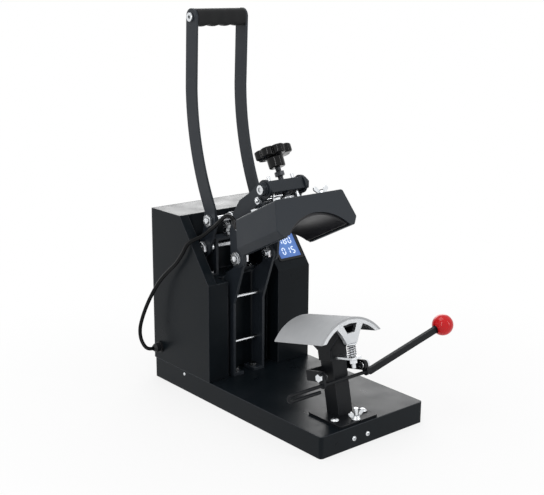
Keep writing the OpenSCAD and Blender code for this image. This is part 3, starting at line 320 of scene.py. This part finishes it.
rounding_mm = {"housing": 1.2, "base_tray": 1.2, "lower_platen": 0.6}
rounding_mm |= dict.fromkeys(["pivot_bolts", "handle_shaft", "frame_bolts", "stop_bolt",
                              "arm_ties", "lever_bolts", "grip_screws", "cross_shaft",
                              "hood_nuts", "platen_stud", "foot_bolts"], 0.5)
for name, radius in rounding_mm.items():
    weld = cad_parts[name].modifiers.new("weld", "WELD")
    weld.merge_threshold = 0.01 * MM
    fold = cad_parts[name].modifiers.new("fold", "BEVEL")
    fold.width, fold.segments = radius * MM, 3
    fold.limit_method, fold.angle_limit = "ANGLE", np.radians(35)
    fold.harden_normals = True
print("finishes on", sum(map(len, worn_by.values())), "pieces,", len(rounding_mm), "rounded")

# %% [markdown]
# ## Meshes from grids
# Every new piece is a grid of points worked out as whole arrays, so a few helpers turn a grid
# into a closed mesh. A leaning piece is drawn upright in its own frame and then carried to its
# place, so that its numbers are the ones on a drawing.


# %% Mesh helpers
def mesh_from(name, points, faces, material, body, smooth=True):
    """Puts vertices and faces into a new mesh object that rides on a body."""
    mesh = bpy.data.meshes.new(name)
    mesh.from_pydata(np.asarray(points, float).tolist(), [], [list(map(int, f)) for f in faces])
    mesh.validate()
    mesh.update()
    mesh.polygons.foreach_set("use_smooth", np.full(len(mesh.polygons), smooth))
    mesh.materials.append(material)
    made = bpy.data.objects.new(name, mesh)
    bpy.context.scene.collection.objects.link(made)
    if body:
        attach(made, body)
    return made


def grid_faces(rows, columns):
    """Quads of a grid that is stored row by row. Each row is a closed ring."""
    r = np.arange(rows - 1)[:, None] * columns
    c = np.arange(columns)[None, :]
    n = (c + 1) % columns
    return np.stack([r + c, r + n, r + columns + n, r + columns + c], -1).reshape(-1, 4).tolist()


def closed_rings(rings):
    """A stack of rings (rows, columns, 3) as points and faces, with a cap on both ends."""
    rows, columns = rings.shape[:2]
    caps = [list(range(columns))[::-1], [(rows - 1) * columns + i for i in range(columns)]]
    return rings.reshape(-1, 3), grid_faces(rows, columns) + caps


def joined(parts):
    """Several (points, faces) pairs as one: each part's faces count on from the last part."""
    starts = np.cumsum([0] + [len(points) for points, _ in parts])
    faces = [[i + start for i in face] for start, (_, part) in zip(starts, parts) for face in part]
    return np.vstack([points for points, _ in parts]), faces


def unit(v):
    """The vector over its own length."""
    return v / np.linalg.norm(v)


def own_frame(origin, back, up):
    """A function from a leaning piece's own frame to the press's: x across it, y along back and
    z along up, each times its axis and added to the origin. It takes whole arrays as well."""
    axes = np.array([[1.0, 0, 0], back, up])
    return lambda x, y, z: origin + np.stack(np.broadcast_arrays(x, y, z), -1) @ axes


# %% The head's own frame
trunnion = np.array([MID_X, -28.105, 338.702])
along_head = np.array([0, np.cos(HEAD_TILT), -np.sin(HEAD_TILT)])
head_up = np.array([0, np.sin(HEAD_TILT), np.cos(HEAD_TILT)])
SPINDLE_Y, TRUNNION_Z = 50.4, 27.0  # how far the spindle is from the head's front and top
on_head = own_frame(trunnion - SPINDLE_Y * along_head - TRUNNION_Z * head_up, along_head, head_up)
print("head's front edge", np.round(on_head(0, 0, 0), 1), "mm")

# %% [markdown]
# ## The heater lead
# A 6 mm silicone lead carries power from the housing to the heated head. It leaves the head
# through an elbow, hangs past the left edge of the housing in one loose curve and goes into a
# gland low on its side. It has to follow the head when the press closes, so it is made in two
# lengths that meet where the arm's own motion takes over: the first lies between the head's
# trunnion and the arm, the second between the arm and the frame. A smooth curve through a few
# measured points was chosen over a simulated one, because the photograph shows how it hangs.


# %% Lines and tubes
def smooth_line(points, count):
    """A smooth line through points: a Catmull-Rom curve with centripetal steps, resampled to
    equal lengths. Each span is a cubic that leaves and reaches its points along the chords."""
    p = np.asarray(points, float)
    p = np.vstack([2 * p[0] - p[1], p, 2 * p[-1] - p[-2]])
    t = np.concatenate([[0], np.cumsum(np.sqrt(np.linalg.norm(np.diff(p, axis=0), axis=1)))])

    def between(s, i, j, a, b):
        """The point at s on the straight way from a, at t[i], to b, at t[j]."""
        return (t[j] - s) / (t[j] - t[i]) * a + (s - t[i]) / (t[j] - t[i]) * b

    spans = []
    for i in range(1, len(p) - 2):
        s = np.linspace(t[i], t[i + 1], 24, endpoint=False)[:, None]
        a1, a2, a3 = [between(s, k, k + 1, p[k], p[k + 1]) for k in (i - 1, i, i + 1)]
        b1, b2 = between(s, i - 1, i + 1, a1, a2), between(s, i, i + 2, a2, a3)
        spans.append(between(s, i, i + 1, b1, b2))
    line = np.vstack(spans + [p[-2][None]])
    length = np.concatenate([[0], np.cumsum(np.linalg.norm(np.diff(line, axis=0), axis=1))])
    even = np.linspace(0, length[-1], count)
    return np.stack([np.interp(even, length, line[:, k]) for k in range(3)], 1)


def tube_rings(line, radius, sides=20):
    """Rings round a line. Each ring lies square to the line's direction, and its first spoke is
    carried along without twist by removing the part that points along the line."""
    line = np.asarray(line, float)
    d = np.gradient(line, axis=0)
    d /= np.linalg.norm(d, axis=1)[:, None]
    spoke = np.cross(d[0], [0.3, 0.5, 0.81])
    spokes = []
    for way in d:
        spoke = unit(spoke - way * np.dot(spoke, way))
        spokes.append(spoke)
    u = np.array(spokes)
    v = np.cross(d, u)
    angle = np.linspace(0, 2 * np.pi, sides, endpoint=False)[None, :, None]
    return line[:, None] + radius * (np.cos(angle) * u[:, None] + np.sin(angle) * v[:, None])


# %% Heater lead
LEAD = 6 * MM
mouth_rise = np.radians(70)


def in_elbow(deep):
    """A point on the axis of the elbow's mouth, which points up and back from the head."""
    return on_head(-58, 105.6 + deep * np.cos(mouth_rise), -8 + deep * np.sin(mouth_rise))


joint = np.array([-84, 30, 293])
route = np.array([
    in_elbow(5), in_elbow(11), [-82.5, 19.5, 294.4], joint - 4 * along_head, joint,
    joint + 4 * along_head, [-84.5, 42, 284], [-85.5, 52, 275.5], [-86.5, 62, 268],
    [-89, 72, 260], [-92.5, 80, 253.5], [-98, 87, 249.5], [-104.5, 96, 242], [-107, 107, 225],
    [-109, 123, 206], [-112, 143, 188], [-115, 160, 170], [-118, 174, 150], [-122, 186, 127],
    [-125, 196, 103], [-127, 200, 85], [-128, 197, 71], [-127, 190.5, 61], [-124, 185.5, 55.5],
    [-117, 183, 54], [-114, 183, 54]]) * MM
line = smooth_line(route, 240)
for _ in range(8):  # a stiff jacket evens out its bends: each point moves towards its neighbours
    line[1:-1] += 0.25 * (line[2:] - 2 * line[1:-1] + line[:-2])
along = np.concatenate([[0], np.cumsum(np.linalg.norm(np.diff(line, axis=0), axis=1))])
cut = int(np.searchsorted(along, 108 * MM))


def lead(name, line, node):
    """One length of the lead: a tube round its line, closed at both ends. It replaces the
    model's plain tube."""
    piece = mesh_from(name, *closed_rings(tube_rings(line, LEAD / 2)), jacket, None)
    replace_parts(piece, node)
    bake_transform(piece)


lead("heater_lead_upper", line[: cut + 1], "head_cable_upper")
lead("heater_lead_lower", line[cut:], "head_cable_lower")

# %% [markdown]
# ## The hood
# The hood is folded from 2 mm sheet. Seen from the front it is a flat roof with two sloping
# sides, a shoulder and a narrow lip turned in below, and its front and back plates are cut away
# in an arch over the heated platen. A bevel leaves streaks on so thin a shell, so it is swept
# along that outline as a new surface. At every step its section is a C: from the arch out over
# the front plate, round the fold, along the side and back the same way on the inside.


# %% Rounded outline
def rounded_outline(corners, radii, step):
    """An open outline with rounded corners: points, outward normals and how far each point lies
    between the corners. An arc starts and ends radius / tan(half the angle) from its corner."""
    points, normals, share = [], [], []

    def straight(a, b, start, end, normal):
        near = min(0.4 / max(np.linalg.norm(b - a), 1.0), 0.2)
        inner = np.linspace(0, 1, max(2, int(np.linalg.norm(b - a) / step)) + 1)[1:-1]
        for t in (0, near, *inner, 1 - near, 1):
            points.append(a + t * (b - a))
            normals.append(normal)
            share.append(start + t * (end - start))

    last = corners[0]
    for i in range(1, len(corners)):
        way = unit(corners[i] - corners[i - 1])
        side = np.array([-way[1], way[0]])
        if i == len(corners) - 1:
            straight(last, corners[i], share[-1], i, side)
            break
        ahead = unit(corners[i + 1] - corners[i])
        half = np.arccos(np.clip(-way @ ahead, -1, 1)) / 2
        reach = radii[i] / np.tan(half)
        straight(last, corners[i] - way * reach, i - 0.9 if i > 1 else 0, i - 0.1, side)
        centre = corners[i] - way * reach - side * radii[i]
        turned = np.array([-ahead[1], ahead[0]])
        whole = np.arccos(np.clip(side @ turned, -1, 1))
        for t in np.linspace(0, 1, 8)[1:-1]:
            normal = (np.sin((1 - t) * whole) * side + np.sin(t * whole) * turned) / np.sin(whole)
            points.append(centre + radii[i] * normal)
            normals.append(normal)
            share.append(i - 0.1 + 0.2 * t)
        last = corners[i] + ahead * reach
    return np.array(points), np.array(normals), np.array(share)


# %% Hood
ARCH_R, ARCH_Z, DEPTH, SHEET, FOLD = 78.0, -104.5, 98.6, 2.0, 1.6
corners = np.array([[-59.0, -53.5], [-66.6, -53.5], [-74.5, -42.4], [-62.6, 0.0],
                    [62.6, 0.0], [74.5, -42.4], [66.6, -53.5], [59.0, -53.5]])
outline, outward, share = rounded_outline(corners, [0, 3.2, 3.2, 4.2, 4.2, 3.2, 3.2, 0], 4.5)
arch_angles = [-47.1, -46.5, -44.0, -31.0, 31.0, 44.0, 46.5, 47.1]  # the arch below each corner
around = np.radians(np.interp(share, np.arange(8), arch_angles))
arch = np.stack([ARCH_R * np.sin(around), ARCH_Z + ARCH_R * np.cos(around)], 1)


def hood_skin(inset, fold, y_front, y_back):
    """One face of the sheet: rows along the outline, columns from the front arch edge, round
    both folds, to the back arch edge. Each column is (x, depth, z) in the head's frame."""
    bend = np.linspace(0, np.pi / 2, 6)
    deep = np.concatenate([[fold + 0.4], fold * (1 - np.sin(bend)), [0.0]])
    deep = np.concatenate([deep, deep[::-1]])
    y = np.concatenate([[0.0], fold * (1 - np.cos(bend)), [fold + 0.4]])
    y = np.concatenate([[y_front], y_front + y, y_back - y[::-1], [y_back]])
    skin = (outline - inset * outward)[:, None] - deep[None, :, None] * outward[:, None]
    skin = np.concatenate([arch[:, None], skin, arch[:, None]], 1)
    return np.stack([skin[..., 0], np.broadcast_to(y, skin.shape[:2]), skin[..., 1]], -1)


outer = hood_skin(0.0, FOLD, 0.0, DEPTH)
inner = hood_skin(SHEET, 0.5, SHEET, DEPTH - SHEET)
section = np.concatenate([outer, inner[:, ::-1]], 1)
rows, columns = section.shape[:2]
faces = [face[::-1] for face in grid_faces(rows, columns)]
for k in range(columns // 2 - 1):  # quads between the two skins close the shell's two ends
    cap = [k, k + 1, columns - 2 - k, columns - 1 - k]
    faces += [cap, [(rows - 1) * columns + i for i in cap[::-1]]]
points = on_head(*np.moveaxis(section, -1, 0)).reshape(-1, 3)
hood = mesh_from("hood_folded_shell", points * MM, faces, coat_frame, "head")
hood.data.set_sharp_from_angle(angle=np.radians(34))
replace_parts(hood, "hood")
print("hood", len(faces), "faces")

# %% [markdown]
# ## The star knob
# The pressure knob is pressed from black phenolic: seven rounded lobes for the fingers, a low
# dome on top and a round hub below. It is one surface of revolution whose radius also swings
# with the angle. Where the profile is on the rim, the full lobe outline counts, and towards
# the dome and the hub it fades into a circle.

# %% Star knob
KNOB_R, NOTCH_R, KNOB_Z = 27.4, 20.6, 73.0
profile = np.array([
    # radius share, height in mm, how far the lobes show
    [0.02, 15.1, 0], [0.2, 15.0, 0], [0.32, 14.6, 0], [0.42, 13.2, 0.05], [0.5, 12.3, 0.25],
    [0.7, 12.2, 0.7], [0.88, 12.1, 1], [0.95, 11.7, 1], [0.985, 10.9, 1], [1.0, 9.6, 1],
    [1.0, 6.0, 1], [1.0, 1.6, 1], [0.985, 0.2, 1], [0.95, -0.7, 1], [0.88, -1.2, 1],
    [0.66, -1.3, 0.5], [0.52, -1.6, 0.1], [0.46, -2.6, 0], [0.45, -4.0, 0], [0.445, -14.4, 0],
    [0.435, -16.4, 0], [0.4, -17.2, 0], [0.2, -17.2, 0]])
fine = np.linspace(0, len(profile) - 1, 90)
size, height, lobed = [np.interp(fine, np.arange(len(profile)), column)[:, None]
                       for column in profile.T]


def lobe_outline(angle, lobes):
    """The rim's radius swings between a lobe's and a notch's. The cosine is raised to a small
    power, which makes lobes broad and notches narrow."""
    return NOTCH_R + (KNOB_R - NOTCH_R) * (0.5 + 0.5 * np.cos(lobes * angle)) ** 0.3


theta = np.linspace(0, 2 * np.pi, 168, endpoint=False)
radius = size * (KNOB_R * (1 - lobed) + lobe_outline(theta, 7) * lobed)
knob_rings = on_head(radius * np.cos(theta), SPINDLE_Y + radius * np.sin(theta), KNOB_Z + height)
knob = mesh_from("star_knob_moulding", *closed_rings(knob_rings[::-1] * MM), phenolic_black,
                 "spindle")
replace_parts(knob, "star_knob")
print("star knob", len(knob.data.polygons), "faces")

# %% [markdown]
# ## The grip
# The grip is a rubber sleeve between the two bars. Its section is a rounded rectangle, and its
# underside has four shallow waves for the fingers. The section is a superellipse whose lower
# half moves up and down along the grip.

# %% Grip
grip_low, grip_high = [np.array(c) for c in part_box("handle_grip")]
half = (grip_high - grip_low) / 2
x = np.linspace(-1, 1, 121)
theta = np.linspace(0, 2 * np.pi, 72, endpoint=False)
round_end = np.clip(1 - np.abs(x), 0, 0.03) / 0.03
shrink = (1 - 0.09 * (1 - np.sqrt(1 - (1 - round_end) ** 2)))[:, None]
SQUARE = 0.62  # a superellipse's power: 1 is an ellipse, and less is squarer
ring_y = np.sign(np.cos(theta)) * np.abs(np.cos(theta)) ** SQUARE
ring_z = np.sign(np.sin(theta)) * np.abs(np.sin(theta)) ** SQUARE
wave = 0.143 * (0.5 + 0.5 * np.cos(x * 4 * np.pi)) * (np.abs(x) < 0.96)
lift = np.clip(-ring_z, 0, 1) * wave[:, None]
bulge = 0.03 * np.cos(x * 4 * np.pi)[:, None]
grip_rings = np.stack(np.broadcast_arrays(
    (x * half[0])[:, None], ring_y * half[1] * (shrink - 0.04 + bulge),
    (ring_z + lift) * half[2] * shrink), -1) + (grip_low + grip_high) / 2
grip = mesh_from("grip_sleeve", *closed_rings(grip_rings), grip_rubber, "handle")
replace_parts(grip, "handle_grip")
print("grip", np.round(2 * half / MM, 1), "mm")

# %% [markdown]
# ## The spring under the platen
# A coil spring keeps the stud's nut tight. Its wire follows a helix of five turns between the
# platen's front web and the nut, and it leans with the platen, 12 degrees.

# %% Stud spring
lean = np.radians(12)
on_platen = own_frame(np.array([MID_X, -170.0, 178.0]), [0, np.cos(lean), -np.sin(lean)],
                      [0, np.sin(lean), np.cos(lean)])
COIL_R, WIRE_R, TURNS = 5.6, 0.8, 5
turn = np.linspace(0, TURNS, 200)
low, high = -55 + WIRE_R, -37.5 - WIRE_R
angle = 2 * np.pi * turn
coil = on_platen(COIL_R * np.cos(angle), 3 + COIL_R * np.sin(angle),
                 low + (high - low) * turn / TURNS)
spring = mesh_from("stud_spring_wire", *closed_rings(tube_rings(coil * MM, WIRE_R * MM, 12)),
                   spring_steel, "holder")
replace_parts(spring, "stud_spring")
print("spring", round(high - low, 1), "mm long")

# %% [markdown]
# ## Cross-head screws
# The sheet-metal screws have a pan head and a cross recess. A head is a disc of points whose
# height follows a dome, less a cross-shaped pit: a point is in the pit where it lies near either
# of two crossing lines and not too far from the middle. Screws, stud ends and cap screws are all
# round pieces that stand on a face, so they share two helpers.


# %% Round hardware
def stand_on(centre, normal, r, t, h):
    """Points of a round piece that stands on a face: radius r at angle t round the face's
    normal, and h above the face."""
    n = np.array(normal, float)
    a = unit(np.cross(n, [0.31, 0.52, 0.8]))
    b = np.cross(n, a)
    flat = (r * np.cos(t))[..., None] * a + (r * np.sin(t))[..., None] * b
    return np.array(centre, float) + flat + h[..., None] * n


def hardware(name, parts, body, crease=180):
    """Several zinc-plated pieces that ride on one body, as one object. Edges that turn by more
    than the crease angle stay sharp."""
    points, faces = joined(parts)
    piece = mesh_from(name, points * MM, faces, zinc, body)
    if crease < 180:
        piece.data.set_sharp_from_angle(angle=np.radians(crease))
    print(name, len(parts), "pieces,", len(faces), "faces")
    return piece


# %% Cross-head screws
def pan_head_screw(centre, normal, diameter):
    """One pan head with its cross recess. The dome rises by 0.3 of the diameter, and its height
    falls with the 2.6th power of the radius."""
    rho = np.concatenate([np.linspace(0.02, 0.8, 26), [0.87, 0.93, 0.97, 0.99, 1.0, 1.0]])
    t = np.linspace(0, 2 * np.pi, 48, endpoint=False)
    rho, t = np.meshgrid(rho, t, indexing="ij")
    rise = 0.3 * diameter
    dome = rise * np.sqrt(np.clip(1 - rho**2.6, 0, 1))
    dome[-1] = 0.02
    r = rho * diameter / 2
    arm = np.minimum(np.abs(np.cos(t)), np.abs(np.sin(t))) * r / (0.075 * diameter)
    pit = np.clip(1.5 - arm, 0, 1) * np.clip((1.15 - r / (0.3 * diameter)) * 6, 0, 1)
    return closed_rings(stand_on(centre, normal, r, t, dome - 0.5 * rise * pit)[::-1])


sides = (-1, 1)
screws = [pan_head_screw((x, -200, 13.5), (0, -1, 0), 7.2) for x in (-38, -12)]
screws += [pan_head_screw((s * 100, 117, 27), (s, 0, 0), 5.0) for s in sides]
screws += [pan_head_screw((s * 92, 200, z), (0, 1, 0), 7.2) for s in sides
           for z in (42, 155.5, 269)]
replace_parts(hardware("cross_head_screws", screws, "frame"), "frame_screws")

# %% [markdown]
# ## Stud ends
# The bolts of the mechanism reach a few millimetres past their nuts, with a rolled thread and a
# chamfered end. The thread is a helix: the radius falls and rises once for each pitch of height,
# shifted by the angle.


# %% Stud ends
def stud_end(centre, normal, diameter, length, pitch):
    """A threaded end that stands on a face and closes with a chamfer."""
    height = np.linspace(0, length - 0.6, int(8 * length / pitch))
    t = np.linspace(0, 2 * np.pi, 40, endpoint=False)
    h, t = np.meshgrid([*height, length, length], t, indexing="ij")
    groove = np.abs(((h / pitch - t / (2 * np.pi)) % 1) * 2 - 1)
    r = diameter / 2 - 0.54 * pitch * groove
    r[-2], r[-1] = diameter / 2 - 0.7 * pitch, 0.02
    return closed_rings(stand_on(centre, normal, r, t, h))


def stud_pair(reach, y, z, diameter, length, pitch):
    """The same stud end on both sides of the mechanism, reach mm from its middle."""
    return [stud_end((MID_X + s * reach, y, z), (s, 0, 0), diameter, length, pitch)
            for s in sides]


hardware("pivot_stud_ends", stud_pair(39.6, 36, 224, 9.4, 3.6, 1.5), "frame", 50)
hardware("shaft_stud_ends", stud_pair(50.8, 105, 229, 9.4, 3.6, 1.5), "frame", 50)
hardware("cross_stud_end", [stud_end((-77, 86, 274.5), (-1, 0, 0), 9.4, 3.4, 1.5)], "handle", 50)
hardware("small_tie_stud_ends", stud_pair(40, -18.1, 321.2, 5.6, 3.0, 1.0), "arm", 50)

# %% [markdown]
# ## Socket screws
# The trunnion is held between the arms by a cap screw on each side. Its head is a low cylinder
# with a hexagonal socket: the socket's wall is the inner edge of the ring, so the head is swept
# from the socket's bottom up its wall, over the chamfer and down the outside.


# %% Socket screws
def socket_head(centre, normal, diameter, rise, key):
    """A cap-screw head. The first rings follow a hexagon, key across flats, whose radius is half
    of that over the cosine of the angle from the nearest flat."""
    t = np.linspace(0, 2 * np.pi, 72, endpoint=False)
    hexagon = key / 2 / np.cos((t % (np.pi / 3)) - np.pi / 6)
    circle = np.full_like(t, diameter / 2)
    steps = [(circle, 0.003, 0.3), (hexagon, 1, 0.3), (hexagon, 1, 0.34), (hexagon, 1, 0.93),
             (hexagon, 1.06, 0.98), (circle, 0.62, 1.0), (circle, 0.9, 1.0),
             (circle, 0.95, 0.985), (circle, 0.985, 0.94), (circle, 1, 0.87), (circle, 1, 0.83),
             (circle, 1, 0.02), (circle, 1, 0.0)]
    r = np.array([share * ring for ring, share, _ in steps])
    h = np.array([share * rise for _, _, share in steps])[:, None]
    return closed_rings(stand_on(centre, normal, r, t, h)[::-1])


hardware("trunnion_cap_screws", [socket_head((MID_X + s * 41.82, *trunnion[1:]), (s, 0, 0),
                                             13.5, 1.8, 6.5) for s in sides], "trunnion", 40)

# %% [markdown]
# ## The display's glass
# The controller has a blue backlit display on the sloping panel. It gives off light of its own,
# a little more in the middle, under glass that mirrors the room. An emission with a spherical
# gradient does this without a lamp, and it lights up the same in any scene.


# %% Lit glass
def glow(name, middle_colour, edge_colour, strength, middle, reach):
    """A lit panel: an emission that falls off from the middle, under a glossy surface."""
    material, tree, output, place = new_material(name)
    centred = add(tree, "ShaderNodeMapping", {"Vector": place}, scale=(1 / reach,) * 3,
                  location=tuple(-np.array(middle) / reach))
    ball = add(tree, "ShaderNodeTexGradient", {"Vector": centred.outputs[0]},
               gradient_type="SPHERICAL")
    tone = add(tree, "ShaderNodeMix", {0: ball.outputs[0]},
               {6: linear(edge_colour), 7: linear(middle_colour)}, data_type="RGBA")
    surface = add(tree, "ShaderNodeBsdfPrincipled",
                  {"Base Color": tone.outputs[2], "Emission Color": tone.outputs[2]},
                  emission_strength=strength, roughness=0.12)
    tree.links.new(surface.outputs[0], output.inputs[0])
    return material


slope = np.arctan2(94, 72)  # the panel rises 94 mm over a depth of 72 mm
on_panel = own_frame(np.array([71.0, 52.0, 185.0]), [0, np.cos(slope), np.sin(slope)],
                     [0, -np.sin(slope), np.cos(slope)])
glass_middle = on_panel(0.0, 38.0, 0.6) * MM
lit_glass = glow("blue_backlit_glass", "#5c86c9", "#3a5ca8", 0.3, glass_middle, 40 * MM)
lit_white = glow("white_lit_segment", "#d8e6fb", "#d2e0f8", 0.6, glass_middle, 40 * MM)
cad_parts["display_screen"].data.materials.clear()
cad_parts["display_screen"].data.materials.append(lit_glass)
print("panel slopes at", round(float(np.degrees(slope)), 1), "degrees")

# %% [markdown]
# ## The numbers on the display
# Two rows of numbers show the temperature and the time. They are the usual seven-segment kind,
# and the ones here are plain values. Each segment is a thin hexagonal prism that stands on the
# glass: real geometry stays sharp from any distance, and a texture wouldn't.

# %% Seven segments
# the segments that each digit lights: a is the top one, b to f follow clockwise, g is the middle
SEGMENTS = {"0": "abcdef", "1": "bc", "5": "afgcd", "8": "abcdefg"}


def segment(name, width, height, stroke):
    """One hexagonal segment as (6, 2) points in its digit's own box."""
    w, h, s, gap = width / 2, height / 2, stroke / 2, 0.35
    lying = {"a": h, "g": 0, "d": -h}
    if name in lying:
        a, b = w - gap, w - gap - s
        points = [[-a, 0], [-b, s], [b, s], [a, 0], [b, -s], [-b, -s]]
        return np.array(points) + [0, lying[name]]
    a, b = h / 2 - gap, h / 2 - gap - s
    points = [[0, -a], [s, -b], [s, b], [0, a], [-s, b], [-s, -b]]
    return np.array(points) + [w if name in "bc" else -w, h / 2 if name in "bf" else -h / 2]


def number(text, x0, y0, width, height, stroke, step):
    """The segments of a number, each a hexagonal prism 0.15 mm thick that stands on the glass."""
    faces = [[0, 1, 2, 3, 4, 5], [11, 10, 9, 8, 7, 6]]
    faces += [[i, i + 6, (i + 1) % 6 + 6, (i + 1) % 6] for i in range(6)]
    parts = []
    for place, digit in enumerate(text):
        for name in SEGMENTS[digit]:
            x, y = (segment(name, width, height, stroke) + [x0 + place * step, y0]).T
            parts.append((np.vstack([on_panel(x, y, z) for z in (0.62, 0.77)]), faces))
    return parts


# %% Digits
rows_of_digits = [number(text, -9.5, y0, 5.2, 10.5, 1.9, 9.5)
                  for text, y0 in (("180", 47.0), ("015", 29.5))]
points, faces = joined(sum(rows_of_digits, []))
digits = mesh_from("display_digits", points * MM, faces, lit_white, "frame", smooth=False)
print("digits", len(faces), "faces")

# %% [markdown]
# ## Floor and backdrop
# The press stands in a white studio. The floor's own colour is pale, and what the camera and
# mirror-like surfaces see of it is lifted to white by Light Path, as product photographs are.
# Near the press a share of the true shading stays, which is the soft shadow, and it fades out
# by 0.7 m.


# %% Floor
def seen_directly(tree):
    """1 for camera, glossy and transmission rays, and 0 for the rays that light the object."""
    path = add(tree, "ShaderNodeLightPath").outputs
    pair = add(tree, "ShaderNodeMath", {0: path["Is Camera Ray"], 1: path["Is Glossy Ray"]},
               operation="ADD")
    return add(tree, "ShaderNodeMath", {0: pair.outputs[0], 1: path["Is Transmission Ray"]},
               operation="ADD", use_clamp=True).outputs[0]


material, tree, output, place = new_material("pale_studio_floor")
pale = add(tree, "ShaderNodeBsdfDiffuse", roughness=0.0, color=linear("#f0f0f0"))
white = add(tree, "ShaderNodeEmission", strength=1.0)
distance = add(tree, "ShaderNodeVectorMath", {0: place}, operation="LENGTH")
lifted = add(tree, "ShaderNodeMapRange", {"Value": distance.outputs["Value"]},
             interpolation_type="SMOOTHSTEP", from_min=0.2, from_max=0.7, to_min=0.78, to_max=1.0)
share = add(tree, "ShaderNodeMath", {0: seen_directly(tree), 1: lifted.outputs[0]},
            operation="MULTIPLY")
mixed = add(tree, "ShaderNodeMixShader",
            {0: share.outputs[0], 1: pale.outputs[0], 2: white.outputs[0]})
tree.links.new(mixed.outputs[0], output.inputs[0])
HALF = 4.0
floor = mesh_from("studio_floor", [[-HALF, -HALF, 0], [HALF, -HALF, 0], [HALF, HALF, 0],
                                   [-HALF, HALF, 0]], [[0, 1, 2, 3]], material, None, smooth=False)
print("floor", 2 * HALF, "m wide")

# %% [markdown]
# ## World and lamps
# The world gives half of a plain white level all round, and white where it is seen. A long low
# panel behind the press draws the silvery top of the housing and of the base. A wide one above
# fills the faces that look up. Two narrow strips at the front, left and right, draw the thin
# bright lines on bolts, ball and lead.

# %% World and lamps
world = bpy.data.worlds.new("white_studio")
bpy.context.scene.world = world
world.use_nodes = True
tree = world.node_tree
tree.nodes.clear()
level = add(tree, "ShaderNodeMapRange", {"Value": seen_directly(tree)}, to_min=0.5, to_max=1.0)
backdrop = add(tree, "ShaderNodeBackground", {"Strength": level.outputs[0]}, color=(1, 1, 1, 1))
add(tree, "ShaderNodeOutputWorld", {0: backdrop.outputs[0]})


def soft_panel(name, at, aim, size, watts):
    """A rectangular lamp that faces a point and that the camera doesn't see."""
    lamp = bpy.data.lights.new(name, "AREA")
    lamp.shape = "RECTANGLE"
    lamp.size, lamp.size_y = size
    lamp.energy = watts
    made = bpy.data.objects.new(name, lamp)
    bpy.context.scene.collection.objects.link(made)
    turn = (Vector(at) - Vector(aim)).to_track_quat("Z", "Y").to_matrix().to_4x4()
    made.matrix_world = Matrix.Translation(Vector(at)) @ turn
    made.visible_camera = False


soft_panel("panel_behind", (1.5, 1.9, 0.85), (0, 0.1, 0.25), (2.4, 0.9), 24)
soft_panel("panel_above", (-0.3, 0.2, 2.0), (0, 0, 0.25), (1.6, 1.2), 16)
soft_panel("strip_left_front", (-1.6, -1.1, 1.2), (0, 0, 0.25), (0.12, 1.5), 8)
soft_panel("strip_right_front", (0.9, -1.7, 0.9), (0, 0, 0.25), (0.12, 1.4), 5)
bpy.context.scene.view_settings.view_transform = "Standard"
print("lamps", len(bpy.data.lights))
